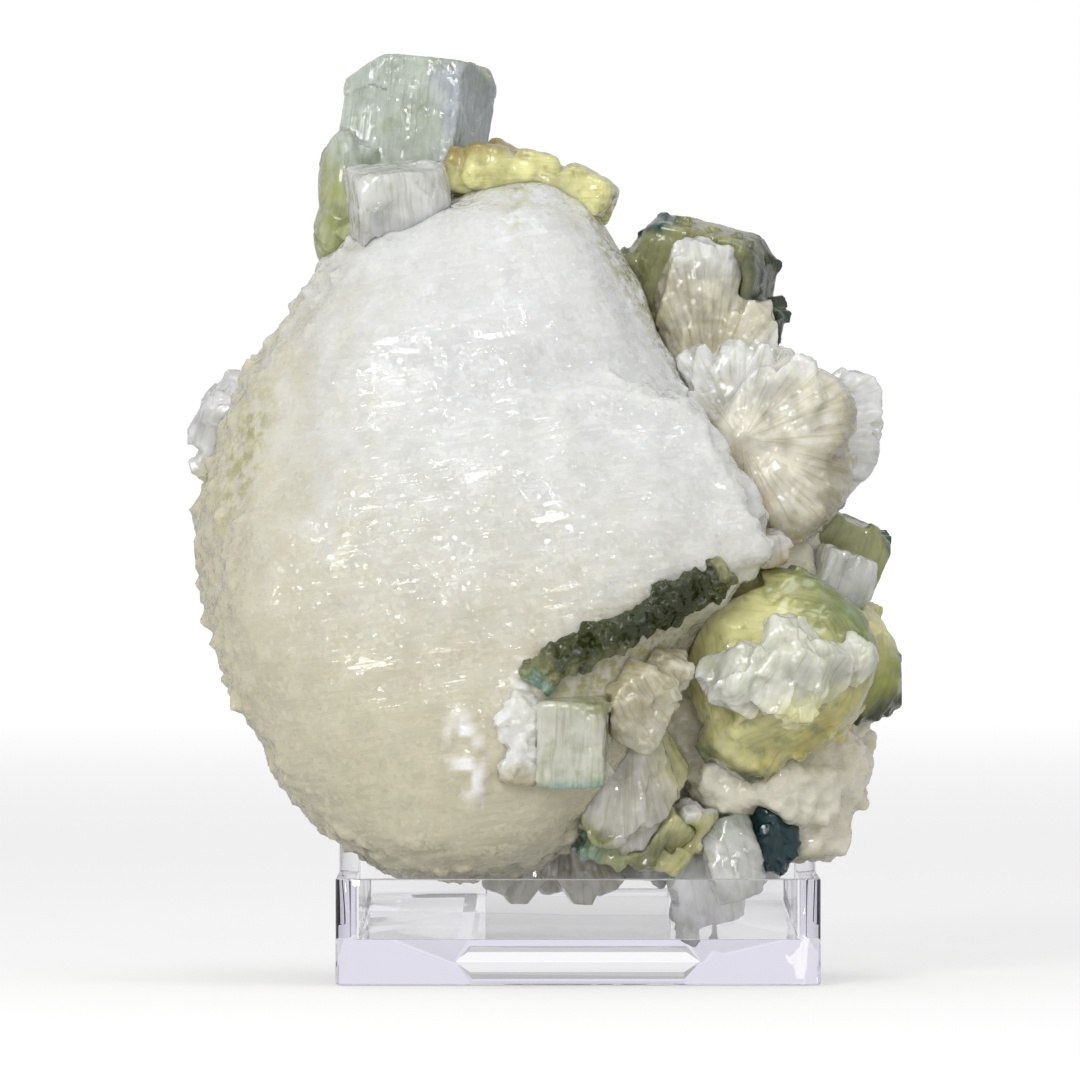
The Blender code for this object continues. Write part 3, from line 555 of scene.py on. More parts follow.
class Look:
    """A material, or the world, under construction."""

    def __init__(self, name, world=False):
        self.owner = (bpy.data.worlds if world else bpy.data.materials).new(name)
        self.owner.use_nodes = True
        self.nodes = self.owner.node_tree.nodes
        self.links = self.owner.node_tree.links
        self.nodes.clear()
        self.output = self.nodes.new("ShaderNodeOutputWorld" if world else "ShaderNodeOutputMaterial")
        self.place = self.node("ShaderNodeTexCoord", output="Object")

    def node(self, kind, settings=None, inputs=None, output=0):
        """A node of that kind. inputs are numbers, colours or other nodes' values, by name or index."""
        made = self.nodes.new(kind)
        for key, value in (settings or {}).items():
            setattr(made, key, value)
        for key, value in (inputs or {}).items():
            if isinstance(value, Value):
                self.links.new(value.socket, made.inputs[key])
            else:
                made.inputs[key].default_value = value
        return Value(self, made.outputs[output])

    def noise(self, per_metre, detail=3.0, roughness=0.5, place=None, distortion=0.0):
        inputs = {
            "Vector": place or self.place, "Scale": per_metre, "Detail": detail, "Roughness": roughness,
            "Distortion": distortion,
        }
        return self.node("ShaderNodeTexNoise", {}, inputs)

    def cell(self, per_metre, place=None, output="Distance", feature="F1"):
        inputs = {"Vector": place or self.place, "Scale": per_metre}
        return self.node("ShaderNodeTexVoronoi", {"feature": feature}, inputs, output)

    def stretched(self, scales, turn=(0.0, 0.0, 0.0)):
        """The place, turned by degrees and then scaled along each axis."""
        turned = self.node("ShaderNodeMapping", {}, {
            "Vector": self.place, "Rotation": [math.radians(angle) for angle in turn],
        })
        return self.node("ShaderNodeMapping", {}, {"Vector": turned, "Scale": scales})

    def tint(self, label):
        """A number stored on the mesh's corners."""
        return self.node("ShaderNodeAttribute", {"attribute_name": label}, output="Fac")

    def strands(self, across, along):
        """Noise in streaks along a crystal's own growth, with so many per metre each way."""
        place = self.node("ShaderNodeCombineXYZ", {}, {
            "X": self.tint("across") * across, "Y": self.tint("along") * along,
        })
        return self.noise(1.0, 2.0, 0.65, place)

    def tone(self, light=0.0):
        """The colour stored on the mesh's corners, with light as the share of white mixed into it."""
        stored = self.node("ShaderNodeAttribute", {"attribute_name": "tone"}, output="Color")
        return self.mix(light, stored, (1.0, 1.0, 1.0)) if light else stored

    def mix(self, share, first, second, blend="MIX"):
        """Two colours mixed: the first where share is 0 and the second where it is 1."""
        made = self.nodes.new("ShaderNodeMix")
        made.data_type = "RGBA"
        made.blend_type = blend
        for index, value in ((0, share), (6, first), (7, second)):
            if isinstance(value, Value):
                self.links.new(value.socket, made.inputs[index])
            else:
                made.inputs[index].default_value = value if index == 0 else (*value, 1.0)
        return Value(self, made.outputs[2])

    def glinting(self, place, tilt, normal=None):
        """The surface's normal, tilted at random in every cell of that place, as small crystal faces are."""
        colour = self.cell(1.0, place, "Color")
        centred = self.node("ShaderNodeVectorMath", {"operation": "SUBTRACT"}, {0: colour, 1: (0.5, 0.5, 0.5)})
        scaled = self.node("ShaderNodeVectorMath", {"operation": "SCALE"}, {0: centred, "Scale": tilt})
        base = normal or self.node("ShaderNodeNewGeometry", output="Normal")
        total = self.node("ShaderNodeVectorMath", {"operation": "ADD"}, {0: base, 1: scaled})
        return self.node("ShaderNodeVectorMath", {"operation": "NORMALIZE"}, {0: total})

    def bump(self, height, distance, strength=1.0, normal=None):
        inputs = {"Height": height, "Distance": distance * MM, "Strength": strength}
        if normal:
            inputs["Normal"] = normal
        return self.node("ShaderNodeBump", {}, inputs)

    def surface(self, **inputs):
        """A Principled shader. Its inputs are named with underscores for spaces."""
        named = {key.replace("_", " "): value for key, value in inputs.items()}
        return self.node("ShaderNodeBsdfPrincipled", {"subsurface_method": "RANDOM_WALK"}, named)

    def blend(self, share, first, second):
        return self.node("ShaderNodeMixShader", {}, {0: share, 1: first, 2: second})

    def finish(self, shader, absorbed=None, density=0.0):
        self.links.new(shader.socket, self.output.inputs["Surface"])
        if density:
            volume = self.node("ShaderNodeVolumeAbsorption", {}, {"Color": (*absorbed, 1.0), "Density": density})
            self.links.new(volume.socket, self.output.inputs["Volume"])
        return self.owner


OLIVE = (0.34, 0.34, 0.12)
TEAL = (0.02, 0.12, 0.12)


def milky_look(name, fine_bump=None, gloss=0.36, scatter=2.0, glints=0.34, specks=0.0, wash=0.35, uneven=0.45, stain_and_shade_colour=OLIVE, wet=0.3):
    """Milky stilbite in the piece's own tone, with tiny crystal faces that catch the light."""
    look = Look(name)
    cloud = look.noise(140, 2.5, 0.6)
    colour = look.mix(cloud.ramp(0.35, 0.7) * uneven, look.tone(), (0.80, 0.77, 0.66), "MULTIPLY")
    colour = look.mix(look.noise(420, 3.0, 0.65).ramp(0.5, 0.75) * uneven, colour, look.tone(wash))
    # This tint carries real stains, and on the moss crust also painted shade in the crease, mixed in as a dark colour.
    stain_and_shade = look.tint("stain_and_shade") * look.noise(480, 3.0, 0.65).ramp(0.42, 0.62)
    colour = look.mix(stain_and_shade * 0.8, colour, stain_and_shade_colour)
    if specks:
        spot = look.cell(190).ramp(0.11, 0.07) * look.cell(190, output="Color").ramp(1.0 - specks, 1.0)
        colour = look.mix(spot, colour, (0.10, 0.08, 0.04))
    rough = look.bump(look.noise(1300, 1.0), 0.10, 0.45)
    if fine_bump:
        rough = look.bump(fine_bump(look), 0.16, 0.5, rough)
    grains = look.stretched((1500.0,) * 3)
    shiny = look.cell(1.0, grains, "Color").ramp(0.60, 0.63)
    glint = look.glinting(grains, glints, rough)
    scales = look.stretched((230.0, 600.0, 1500.0), (0.0, 8.0, 0.0))
    flash = look.cell(1.0, scales, "Color").ramp(0.66, 0.69)
    normal = look.mix(flash, glint, look.glinting(scales, 0.26, rough))
    shader = look.surface(
        Base_Color=colour, Roughness=(gloss + cloud * 0.2) * (1.0 - flash * 0.7) * (1.0 - shiny * 0.75),
        Normal=normal, IOR=1.5,
        Subsurface_Weight=0.55, Subsurface_Radius=(1.0, 0.9, 0.74), Subsurface_Scale=scatter * MM,
        Coat_Weight=wet, Coat_Roughness=0.06,
    )
    return look.finish(shader)


def sheaf_lines(look):
    """The fine growth lines of the two sheaves, along the flank above and nearly level below."""
    upper = look.tint("upper")
    flank = look.noise(1.0, 1.0, 0.6, look.stretched((1500.0, 400.0, 55.0), (0.0, 29.0, 0.0)))
    level = look.noise(1.0, 1.0, 0.6, look.stretched((80.0, 400.0, 1400.0), (0.0, 8.0, 0.0)))
    return flank * upper + level * (1.0 - upper)


def glass_look(name, clear=0.3, gloss=0.06, scatter=3.5, stain_and_shade_colour=None, amount=0.4, glints=0.12, wash=0.45, wet=0.8):
    """A see-through crystal in the piece's own tone, with milky clouds inside. clear is its clear share."""
    look = Look(name)
    streaks = look.strands(1500.0, 110.0)
    rough = look.bump(streaks, 0.12, 0.55)
    scales = look.stretched((430.0, 430.0, 300.0), (12.0, 20.0, 0.0))
    flash = look.cell(1.0, scales, "Color").ramp(0.55, 0.6)
    grains = look.stretched((1400.0,) * 3)
    glint = look.mix(flash, look.glinting(grains, glints, rough), look.glinting(scales, 0.16, rough))
    flaws = (look.noise(420, 3.0, 0.7) * 0.6 + streaks * 0.4).ramp(0.42, 0.62)
    inside = look.surface(
        Base_Color=look.mix(flaws * 0.35, look.tone(wash), look.tone(wash * 1.8)), Roughness=gloss + flaws * 0.1,
        Normal=glint, IOR=1.535, Transmission_Weight=1.0,
    )
    colour = look.mix(flaws * 0.5, look.tone(), look.tone(wash * 0.8))
    colour = look.mix(streaks.ramp(0.5, 0.36) * 0.6, colour, (0.78, 0.77, 0.66), "MULTIPLY")
    if stain_and_shade_colour:
        colour = look.mix(look.noise(300, 3.0, 0.65).ramp(0.5, 0.66) * amount, colour, stain_and_shade_colour)
    milk = look.surface(
        Base_Color=colour, Roughness=gloss + 0.06, Normal=glint, IOR=1.535, Subsurface_Weight=0.9,
        Subsurface_Radius=(0.9, 1.0, 0.75), Subsurface_Scale=scatter * MM, Coat_Weight=wet, Coat_Roughness=0.04,
    )
    share = (look.noise(170, 2.0, 0.6).ramp(0.3, 0.7) * 0.5 + 0.75) * (1.0 - clear)
    return look.finish(look.blend(share.clamp(), inside, milk))


def acrylic_look():
    look = Look("acrylic_clear")
    shader = look.surface(
        Base_Color=(0.985, 0.985, 0.99, 1.0), Roughness=look.noise(40).ramp(0.7, 1.0) * 0.02, IOR=1.49,
        Transmission_Weight=1.0,
    )
    return look.finish(shader, (0.908, 0.90, 0.94), 60.0)


# Pieces


def dressed(node, voxel=0.35, smoothing=1, swell=0.18, relief=()):
    """A CAD node as a fine quad mesh that fills its hairline gaps. relief gives facet sizes and slopes."""
    points, faces = remeshed(*node_arrays(node), voxel, smoothing)
    height = np.full(len(points), swell)
    for layer, (size, slope) in enumerate(relief):
        height += facets(points, size, slope, 7 * layer + len(node))
    return points + normals_of(points, faces) * height[:, None], faces


# The lower sheaf's upper edge and the ridge down the upper sheaf, seen from the front.
CREST = [
    (-22.0, 83.0), (-11.3, 85.0), (3.1, 86.5), (16.1, 83.6), (20.4, 77.0), (22.5, 72.8), (27.6, 61.3), (30.0, 55.0),
]
UPPER_CREST = [(-26.0, 113.0), (-16.0, 112.0), (-4.0, 112.5), (4.0, 100.0), (10.0, 88.0)]


def stilbite_sheaf():
    points, faces = remeshed(*node_arrays("stilbite_sheaf"), 0.9, 4, 1)
    out = normals_of(points, faces)
    upper = ramp(points[:, 2] - 0.25 * points[:, 0], 82.0, 92.0) * ramp(points[:, 0], -24.0, -6.0)
    edge = (1 - ramp(-out[:, 1], 0.15, 0.62)) * (1 - 0.8 * upper)
    across, down = along(points, 29.0)
    flank = np.stack([across, points[:, 1] * 0.6, down * 0.14], axis=1)
    level = points * (0.24, 0.6, 1.0)
    height = 0.35 * rough_noise(points, 14.0, 3) + 0.14 * rough_noise(points, 4.0, 5)
    height += (1 - upper) * facets(level, 1.3, 0.03, 1) + upper * facets(flank, 0.7, 0.05, 2)
    height += edge * facets(points, 2.2, 0.35, 4) + edge * facets(points, 1.0, 0.35, 6)
    below = beyond_line(points + 0.5 * facets(points, 3.0, 0.5, 9)[:, None], CREST)
    height += 1.7 * ramp(below, -0.5, 0.9) * (1 - ramp(below, 1.5, 15.0)) * ramp(points[:, 0], -18.0, 2.0)
    below = beyond_line(points, UPPER_CREST)
    height += 0.5 * ramp(below, -1.8, 1.4) * (1 - ramp(below, 1.6, 9.0)) * ramp(-out[:, 1], 0.2, 0.5)
    height -= 3.0 * patch(points, 25.5, 55.5, 4.5, 6.5, -20.0)
    points = points + out * (height[:, None] + 0.1)
    rim = edge * ramp(points[:, 1], -38.0, -20.0) * (1 - ramp(points[:, 1], 10.0, 16.0))
    left = rim * (ramp(-points[:, 0], 20.0, 32.0) + ramp(-points[:, 2], -34.0, -24.0) + 0.1)
    small = druse(points, faces, 1500, (0.9, 2.2), 21, np.clip(left, 0, 1), 0.5, 1.0)
    snow = patch(points, -16.0, 33.0, 2.6, 6.5, -12.0) + patch(points, -7.5, 42.0, 2.4, 5.0, 10.0)
    snow *= ramp(smooth_noise(points, 1.6, 8), -0.2, 0.3) * (points[:, 1] < 0)
    flakes = druse(points, faces, 260, (0.8, 1.6), 23, np.clip(snow, 0, 1), 0.8, 0.9)
    points, faces = fused(0.61, (points, faces), small, flakes)
    upper = ramp(points[:, 2] - 0.25 * points[:, 0], 82.0, 92.0) * ramp(points[:, 0], -24.0, -6.0)
    stain_and_shade = (
        0.9 * patch(points, -48.5, 76.0, 3.5, 13.0, 16.0) + 0.9 * patch(points, 5.5, 105.0, 2.2, 15.0, -29.0)
        + 0.5 * patch(points, -9.0, 115.5, 9.0, 2.5, 90.0) + patch(points, 9.0, 51.5, 4.0, 15.0, 58.0)
        + patch(points, 5.0, 46.5, 5.0, 13.0, 62.0)
    )
    tone = tones(points, "stilbite_sheaf")
    white = patch(points, -16.0, 33.0, 3.2, 8.0, -12.0) + patch(points, -7.5, 42.0, 3.0, 6.0, 10.0)
    white = np.clip(white * ramp(smooth_noise(points, 1.6, 8), -0.3, 0.4) * (points[:, 1] < 0), 0, 1)[:, None]
    tone = tone * (1 - white) + 0.85 * white
    look = milky_look("stilbite_sheaf_pearl", sheaf_lines, specks=0.12, uneven=0.16, wet=0.12)
    tints = {"upper": upper, "stain_and_shade": np.clip(stain_and_shade, 0, 1)}
    piece("stilbite_sheaf_body", points, faces, look, ["stilbite_sheaf"], None, tone, tints)


def matrix():
    base = dressed("stilbite_matrix", 0.5, 3, 0.2, ((4.0, 0.16), (1.6, 0.14)))
    small = druse(*base, 2600, (0.7, 1.8), 31, None, 0.7, 0.9)
    points, faces = fused(0.55, base, small)
    look = milky_look("stilbite_matrix_cream", gloss=0.25, scatter=2.5)
    tone = tones(points, "stilbite_matrix")
    piece("stilbite_matrix_body", points, faces, look, ["stilbite_matrix"], 40, tone)


def blocky(node, turn, size, slope, count, melt=1):
    """A blocky crystal whose faces are a slight mosaic along its own axes, with small crystals grown on it."""
    whole = joined(node_arrays(node), *[lobe(*sizes) for sizes in LOBES.get(node, ())])
    points, faces = remeshed(*whole, 0.36, melt)
    own = points @ np.array(Euler([math.radians(angle) for angle in turn]).to_matrix())
    height = 0.2 + facets(own, size, slope, 3) + facets(own * (1.0, 1.0, 0.35), size * 0.35, slope, 4)
    points = points + normals_of(points, faces) * height[:, None]
    if not count:
        return points, faces
    return fused(0.33, (points, faces), druse(points, faces, count, (size * 0.3, size * 0.8), count, None, 0.3, 0.9))


def crust(node, voxel, melt, swell, rough, seed):
    """A wet, half melted crust that follows its solid. rough gives the sizes and heights of its lumps."""
    points, faces = remeshed(*node_arrays(node), voxel, melt)
    height = np.full(len(points), swell)
    for layer, (size, tall) in enumerate(rough):
        height += tall * rough_noise(points, size, seed + 9 * layer, 3)
    return points + normals_of(points, faces) * height[:, None], faces


LOBES = {
    "stilbite_rosette": (
        (32.4, -11.5, 81.6, 8.0, 7.0, 8.0), (30.3, -10.0, 69.5, 7.6, 7.6, 6.2), (24.0, -12.0, 78.8, 6.0, 6.5, 6.5),
        (22.5, -9.0, 85.5, 5.5, 5.5, 6.0), (28.5, -11.0, 74.0, 8.0, 7.0, 7.0),
    ),
    "stilbite_upper_right": ((17.6, -0.6, 99.5, 5.6, 3.9, 8.0), (24.0, -0.4, 94.0, 4.6, 3.6, 5.5)),
    "apophyllite_top": ((-34.0, -1.5, 115.0, 3.6, 6.5, 8.5), (-35.3, -1.5, 108.5, 3.0, 6.0, 5.5)),
    "stilbite_block_top": ((-26.5, -11.5, 112.0, 6.6, 4.8, 6.2), (-22.0, -11.0, 115.0, 3.4, 3.8, 4.0)),
}
# Single blades: root, tip, width and thickness.
PLATES = {
    "stilbite_blades_bottom": (
        ((-9.0, -2.5, 25.0), (-8.4, -3.5, 9.0), 9.4, 3.4), ((-0.6, -2.0, 25.0), (-0.3, -3.0, 8.8), 9.6, 3.6),
        ((8.5, -3.0, 22.0), (9.8, -3.6, 12.6), 4.8, 2.6), ((-15.0, 0.0, 24.0), (-14.2, -1.0, 12.8), 6.0, 2.8),
    ),
    "stilbite_rosette": (
        ((21.0, -11.0, 80.0), (17.2, -12.5, 92.2), 5.0, 2.6), ((23.0, -13.0, 78.0), (15.4, -14.0, 85.5), 4.0, 2.2),
        ((24.0, -12.0, 79.0), (22.6, -13.5, 92.4), 4.6, 2.4), ((25.0, -12.0, 79.0), (27.0, -13.5, 92.6), 4.6, 2.4),
        ((25.0, -12.0, 79.0), (31.0, -13.0, 90.8), 4.4, 2.2),
    ),
    "stilbite_upper_right": (
        ((24.5, -1.5, 88.0), (25.4, -2.5, 99.0), 3.4, 2.2), ((21.5, -1.5, 88.0), (22.6, -3.0, 97.5), 3.0, 2.0),
        ((27.0, -1.0, 88.0), (28.4, -1.5, 96.0), 2.4, 2.0), ((16.0, 0.0, 90.0), (14.8, -2.5, 105.5), 5.0, 2.4),
    ),
}


def lobe(x, y, z, wide, deep, tall):
    shape = bmesh.new()
    bmesh.ops.create_icosphere(shape, subdivisions=4, radius=1.0)
    points, faces = bmesh_arrays(shape)
    return points * (wide, deep, tall) + (x, y, z), faces


def plates(rows, seed):
    """Single blades, each from its root to its tip with its flat face to the front."""
    roots = np.array([row[0] for row in rows])
    ways = np.array([row[1] for row in rows]) - roots
    lengths = np.linalg.norm(ways, axis=1)
    up = ways / lengths[:, None]
    flat = np.cross(up, (1.0, 0.2, 0.0))
    flat /= np.linalg.norm(flat, axis=1, keepdims=True)
    turns = np.stack([np.cross(flat, up), flat, up], axis=2)
    sizes = np.array([(wide, thick, length) for (_, _, wide, thick), length in zip(rows, lengths)])
    return crystals(BLADES, roots, turns, sizes, seed)


def fanned(node, centre, reach, prism, count):
    """Stilbite prisms that fan out from a centre on the front, reach being their usual length."""
    whole = joined(node_arrays(node), *[lobe(*sizes) for sizes in LOBES.get(node, ())])
    points, faces = remeshed(*whole, 0.3, 1)
    across, up = points[:, 0] - centre[0], points[:, 2] - centre[1]
    polar = np.stack([np.arctan2(across, up) * reach, points[:, 1] * 0.3, np.hypot(across, up) * 0.1], axis=1)
    lumps = 0.4 * smooth_noise(points, reach * 0.5, count)
    height = 0.1 + lumps + facets(polar, prism, 0.22, count) + facets(polar, prism * 0.4, 0.3, count + 1)
    height += facets(points, prism * 1.6, 0.12, count + 2)
    base = points + normals_of(points, faces) * height[:, None], faces
    middle = (centre[0], float(points[:, 1].mean()), centre[1])
    if node in PLATES:
        base = joined(base, plates(PLATES[node], count))
    tips = radiating(node, middle, count, (prism * 0.5, prism * 1.6), (prism * 0.25, prism * 0.6), count)
    return fused(0.31, base, tips)


def plain_crystals():
    """The crystals whose solids have their shape, each with its own glass."""
    sage = glass_look("apophyllite_sage_glass", 0.35, stain_and_shade_colour=(0.30, 0.36, 0.16), amount=0.35)
    yellow = glass_look("apophyllite_yellow_glass", 0.25, 0.09, stain_and_shade_colour=(0.22, 0.30, 0.12), amount=0.5, wash=0.2)
    green = glass_look("apophyllite_green_glass", 0.25, scatter=2.0, stain_and_shade_colour=TEAL, amount=0.15, wash=0.06, wet=0.4)
    teal = glass_look("apophyllite_teal_glass", 0.25, scatter=0.3, wash=0.02, wet=0.15)
    ice = glass_look("stilbite_ice", 0.35, scatter=4.0, glints=0.2)
    petal = glass_look("stilbite_petals", 0.12, 0.12, scatter=4.0, glints=0.3)
    milky = milky_look("stilbite_milky", gloss=0.22, scatter=1.6)
    for node, look, slot, turn, size, slope, count, melt in (
        ("apophyllite_top", sage, "apophyllite_sage", (-4, 6, -20), 9.0, 0.03, 0, 1),
        ("apophyllite_square", sage, "apophyllite_sage", (7, 1.5, -6), 4.0, 0.06, 10, 5),
        ("apophyllite_upper_right", green, "apophyllite_green", (6, 14, -16), 3.2, 0.08, 60, 3),
        ("apophyllite_right_upper", green, "apophyllite_green", (10, 20, 14), 4.0, 0.06, 10, 2),
        ("apophyllite_right_lower", green, "apophyllite_green", (20, 30, 10), 3.6, 0.14, 30, 3),
        ("apophyllite_front", yellow, "apophyllite_yellow", (25, 20, 40), 4.2, 0.09, 24, 2),
        ("apophyllite_rim_lower", yellow, "apophyllite_yellow", (12, 9, 17), 2.4, 0.1, 60, 3),
        ("apophyllite_cubes_lower", yellow, "apophyllite_yellow", (18, 26, 20), 2.8, 0.06, 30, 1),
        ("apophyllite_teal", teal, "apophyllite_teal", (10, 8, 24), 2.4, 0.12, 80, 2),
        ("stilbite_block_top", ice, "stilbite_clear", (12, -6, 14), 5.0, 0.07, 0, 5),
        ("stilbite_right_clear", ice, "stilbite_clear", (8, 18, 22), 4.0, 0.06, 0, 3),
        ("stilbite_blocks_bottom", ice, "stilbite_clear", (3, -9, 8), 4.0, 0.07, 40, 1),
        ("stilbite_oval", ice, "stilbite_clear", (-6, -14, 12), 4.0, 0.06, 0, 3),
        ("stilbite_crystals_left", ice, "stilbite_clear", (12, 24, 20), 3.5, 0.08, 30, 1),
        ("stilbite_crystals_middle", ice, "stilbite_clear", (10, -8, 14), 3.0, 0.08, 10, 1),
        ("stilbite_tuft_front", petal, "stilbite_clear", (24, 32, 20), 5.0, 0.22, 6, 0),
        ("stilbite_white_middle", petal, "stilbite_white", (14, -22, 30), 3.6, 0.2, 14, 1),
        ("stilbite_snow_left", milky, "stilbite_white", (10, 14, 20), 2.6, 0.1, 60, 2),
    ):
        points, faces = blocky(node, turn, size, slope, count, melt)
        own = points @ np.array(Euler([math.radians(angle) for angle in turn]).to_matrix()) * MM
        tints = {"across": own[:, 0] + 0.7 * own[:, 1], "along": own[:, 2]}
        piece(node + "_crystal", points, faces, look, [node], 25, tones(points, node), tints)
    for node, look, slot, centre, reach, prism, count in (
        ("stilbite_rosette", petal, "stilbite_white", (23.5, 78.5), 12.0, 2.0, 150),
        ("stilbite_upper_right", petal, "stilbite_white", (19.0, 84.0), 14.0, 2.4, 60),
        ("stilbite_blades_right", ice, "stilbite_clear", (27.0, 78.0), 14.0, 2.0, 60),
        ("stilbite_fan_lower", ice, "stilbite_clear", (7.5, 42.0), 16.0, 2.6, 50),
        ("stilbite_blades_bottom", petal, "stilbite_cream", (-1.0, 27.0), 14.0, 2.6, 60),
    ):
        points, faces = fanned(node, centre, reach, prism, count)
        across, up = points[:, 0] - centre[0], points[:, 2] - centre[1]
        tints = {"across": np.arctan2(across, up) * reach * MM, "along": np.hypot(across, up) * MM}
        piece(node + "_blades", points, faces, look, [node], 25, tones(points, node), tints)


def crusts():
    """The wet crust on the crest, and the dark green one between the sheaf and the big crystal, with painted shade
    darkening it along the crease.
    """
    look = glass_look("apophyllite_crest_glaze", 0.15, 0.05, 2.0, stain_and_shade_colour=(0.30, 0.24, 0.06), amount=0.5, wash=0.15)
    points, faces = fused(0.33, crust("apophyllite_druse_top", 0.35, 10, 1.0, ((3.0, 0.6), (1.2, 0.35)), 51))
    tone = tones(points, "apophyllite_druse_top")
    tints = {"across": points[:, 2] * MM, "along": points[:, 0] * MM}
    piece("crest_crust", points, faces, look, ["apophyllite_druse_top"], None, tone, tints)
    base = crust("apophyllite_moss", 0.35, 4, -0.5, ((4.5, 2.0), (1.6, 0.7)), 61)
    points, faces = fused(0.29, base, druse(*base, 700, (0.6, 1.6), 41, None, 0.8, 0.8))
    # The near-black colour here is dark moss together with painted shade in the crease.
    look = milky_look("moss_crust", gloss=0.3, scatter=0.3, glints=0.6, wash=0.05, wet=0.15, stain_and_shade_colour=(0.02, 0.035, 0.006))
    tone = tones(points, "apophyllite_moss")
    # Darker along the crease between the sheaf and the crystal: dark green moss, with painted shade laid over it.
    dark_moss_and_shade = 0.4 + 0.6 * np.clip(patch(points, 12.0, 54.0, 4.0, 10.0, 55.0) + patch(points, 0.0, 47.0, 3.0, 5.0, 60.0), 0, 1)
    tone = tone * (1.1 - 0.6 * dark_moss_and_shade)[:, None]
    tints = {"stain_and_shade": dark_moss_and_shade}
    piece("moss_body", points, faces, look, ["apophyllite_moss"], 40, tone, tints)


# The stand


def rounded_rectangle(width, depth, radius, steps):
    corners = []
    for quarter in range(4):
        side = (1, -1, -1, 1)[quarter]
        way = (1, 1, -1, -1)[quarter]
        for step in range(steps + 1):
            angle = math.radians(90 * (quarter + step / steps))
            corners.append((
                side * (width / 2 - radius) + radius * math.cos(angle),
                way * (depth / 2 - radius) + radius * math.sin(angle),
            ))
    return corners


def prism(outline, axis, low, high):
    """An outline in millimetres extruded along X, Y or Z, as an object."""
    order = {"x": (2, 0, 1), "y": (0, 2, 1), "z": (0, 1, 2)}[axis]
    shape = bmesh.new()
    ends = []
    for level in (low, high):
        ends.append([shape.verts.new([(*point, level)[i] for i in order]) for point in outline])
    shape.faces.new(ends[0])
    shape.faces.new(ends[1])
    for i in range(len(outline)):
        j = (i + 1) % len(outline)
        shape.faces.new((ends[0][i], ends[0][j], ends[1][j], ends[1][i]))
    bmesh.ops.recalc_face_normals(shape, faces=shape.faces)
    return as_object(shape)


def as_object(shape):
    mesh = bpy.data.meshes.new("shape")
    shape.transform(Matrix.Scale(MM, 4))
    shape.to_mesh(mesh)
    shape.free()
    made = bpy.data.objects.new("shape", mesh)
    bpy.context.scene.collection.objects.link(made)
    return made


def cut_away(target, tool):
    modifier = target.modifiers.new("cut", "BOOLEAN")
    modifier.operation = "DIFFERENCE"
    modifier.object = tool
    bake_modifiers(target)
    bpy.data.objects.remove(tool)


def bake_modifiers(target):
    """Turns an object's modifiers into mesh."""
    graph = bpy.context.evaluated_depsgraph_get()
    mesh = bpy.data.meshes.new_from_object(target.evaluated_get(graph))
    target.modifiers.clear()
    target.data = mesh


def stand():
    """The clear tray, with smoothly rounded corners and edges."""
    low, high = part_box("acrylic_stand")
    width, depth, top = [side / MM for side in high - low]
    back = depth / 2
    body = prism(rounded_rectangle(width, depth, STAND_CORNER, 8), "z", 0, top)
    inside = rounded_rectangle(width - 2 * WALL, depth - 2 * WALL, 0.8, 3)
    cut_away(body, prism(inside, "z", SLAB, top + 5))
    above = [(-back - 5, LIP_TOP), (POST_RAMP[0], LIP_TOP), (POST_RAMP[1], top + 0.5), (-back - 5, top + 0.5)]
    cut_away(body, prism(above, "x", -width, width))
    gap = [(-BACK_GAP / 2, SLAB), (BACK_GAP / 2, SLAB), (BACK_GAP / 2, top + 5), (-BACK_GAP / 2, top + 5)]
    cut_away(body, prism(gap, "y", back - WALL - 1, back + 5))
    bevel = body.modifiers.new("rounded_edges", "BEVEL")
    bevel.width = 0.6 * MM
    bevel.segments = 3
    bevel.limit_method = "ANGLE"
    bevel.angle_limit = math.radians(35)
    bake_modifiers(body)
    cut_away(body, core(depth))
    body.name = "stand_tray"
    body.data.name = "stand_tray"
    body.data.shade_smooth()
    body.data.set_sharp_from_angle(angle=math.radians(25))
    body.data.materials.append(acrylic_look())
    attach(body, "root")
    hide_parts("acrylic_stand")


def core(depth):
    """The hollow in the slab: a six-sided bar that is open at the back and ends in a wedge at the front."""
    low, middle, high = CORE_HALF_WIDTHS
    bottom, widest, top = CORE_HEIGHTS
    section = [(-low, bottom), (low, bottom), (middle, widest), (high, top), (-high, top), (-middle, widest)]
    front = -depth / 2 + CORE_FRONT
    shape = bmesh.new()
    start = [shape.verts.new((x, front + (0 if z == widest else CORE_WEDGE), z)) for x, z in section]
    end = [shape.verts.new((x, depth / 2 + 5, z)) for x, z in section]
    shape.faces.new((start[0], start[1], start[2], start[5]))
    shape.faces.new((start[2], start[3], start[4], start[5]))
    shape.faces.new(end)
    for i in range(6):
        j = (i + 1) % 6
        shape.faces.new((start[i], start[j], end[j], end[i]))
    bmesh.ops.recalc_face_normals(shape, faces=shape.faces)
    return as_object(shape)


# The stage


def area_light(name, place, size, power, colour=(1.0, 1.0, 1.0)):
    light = bpy.data.lights.new(name, "AREA")
    light.size = size
    light.energy = power
    light.color = colour
    lamp = bpy.data.objects.new(name, light)
    lamp.location = place
    lamp.rotation_euler = (Vector((0.0, 0.0, 0.06)) - Vector(place)).to_track_quat("-Z", "Y").to_euler()
    bpy.context.scene.collection.objects.link(lamp)


def seen(look):
    """1 where the stage is seen directly or through glass, and 0 where it lights or mirrors."""
    straight = look.node("ShaderNodeLightPath", output="Is Camera Ray")
    return (straight + look.node("ShaderNodeLightPath", output="Is Transmission Ray")).clamp()


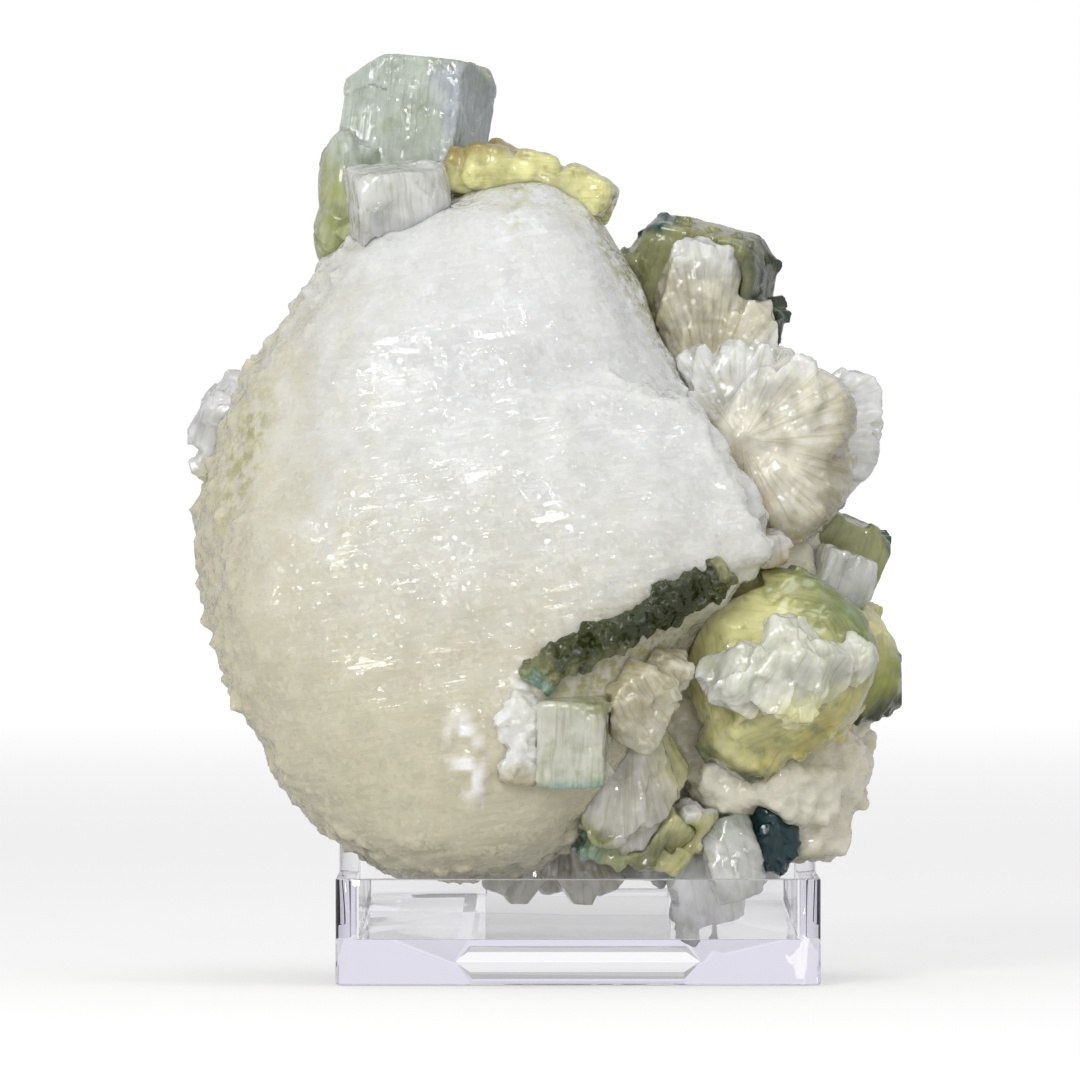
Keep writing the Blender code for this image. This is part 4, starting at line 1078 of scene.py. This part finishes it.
def white_studio():
    """A world that is seen as pure white and lights the object as softly as a large tent."""
    world = Look("studio", world=True)
    dim = world.node("ShaderNodeBackground", {}, {"Color": (1.0, 1.0, 1.0, 1.0), "Strength": 0.58})
    bright = world.node("ShaderNodeBackground", {}, {"Color": (1.0, 1.0, 1.0, 1.0), "Strength": 1.0})
    bpy.context.scene.world = world.finish(world.blend(seen(world), dim, bright))


def floor():
    mesh = bpy.data.meshes.new("floor")
    shape = bmesh.new()
    bmesh.ops.create_grid(shape, x_segments=1, y_segments=1, size=12.0)
    shape.to_mesh(mesh)
    shape.free()
    ground = bpy.data.objects.new("floor", mesh)
    ground.location = (0, 0, -0.0002)
    bpy.context.scene.collection.objects.link(ground)
    paper = Look("white_floor")
    soft = paper.surface(Base_Color=(0.72, 0.72, 0.72, 1.0), Roughness=0.7)
    shaded = paper.surface(Base_Color=(0.9, 0.9, 0.9, 1.0), Roughness=0.7)
    away = paper.node("ShaderNodeVectorMath", {"operation": "LENGTH"}, {0: paper.place}, output="Value")
    strength = 1.36 + away.ramp(0.25, 2.5) * 1.0
    glow = paper.node("ShaderNodeEmission", {}, {"Color": (1.0, 1.0, 1.0, 1.0), "Strength": strength})
    mesh.materials.append(paper.finish(paper.blend(seen(paper), soft, paper.blend(0.3, shaded, glow))))


def stage():
    scene = bpy.context.scene
    floor()
    white_studio()
    area_light("key", (-0.40, -1.00, 0.50), 0.40, 5.0)
    area_light("top", (0.10, -0.25, 1.10), 0.45, 1.5)
    for number, (x, y, z) in enumerate(SPARKLE_LIGHTS):
        area_light(f"sparkle_{number}", (x, y, z), 0.05, 0.42)
    camera = bpy.data.cameras.new("camera")
    camera.sensor_width = 36.0
    camera.lens = CAMERA_LENS
    camera.clip_end = 50.0
    eye = bpy.data.objects.new("camera", camera)
    place, aim = Vector(CAMERA_PLACE) * MM, Vector(CAMERA_AIM) * MM
    eye.location = place
    eye.rotation_euler = (aim - place).to_track_quat("-Z", "Y").to_euler()
    scene.collection.objects.link(eye)
    scene.camera = eye
    scene.view_settings.view_transform = "Standard"


stand()
stilbite_sheaf()
matrix()
plain_crystals()
crusts()
stage()
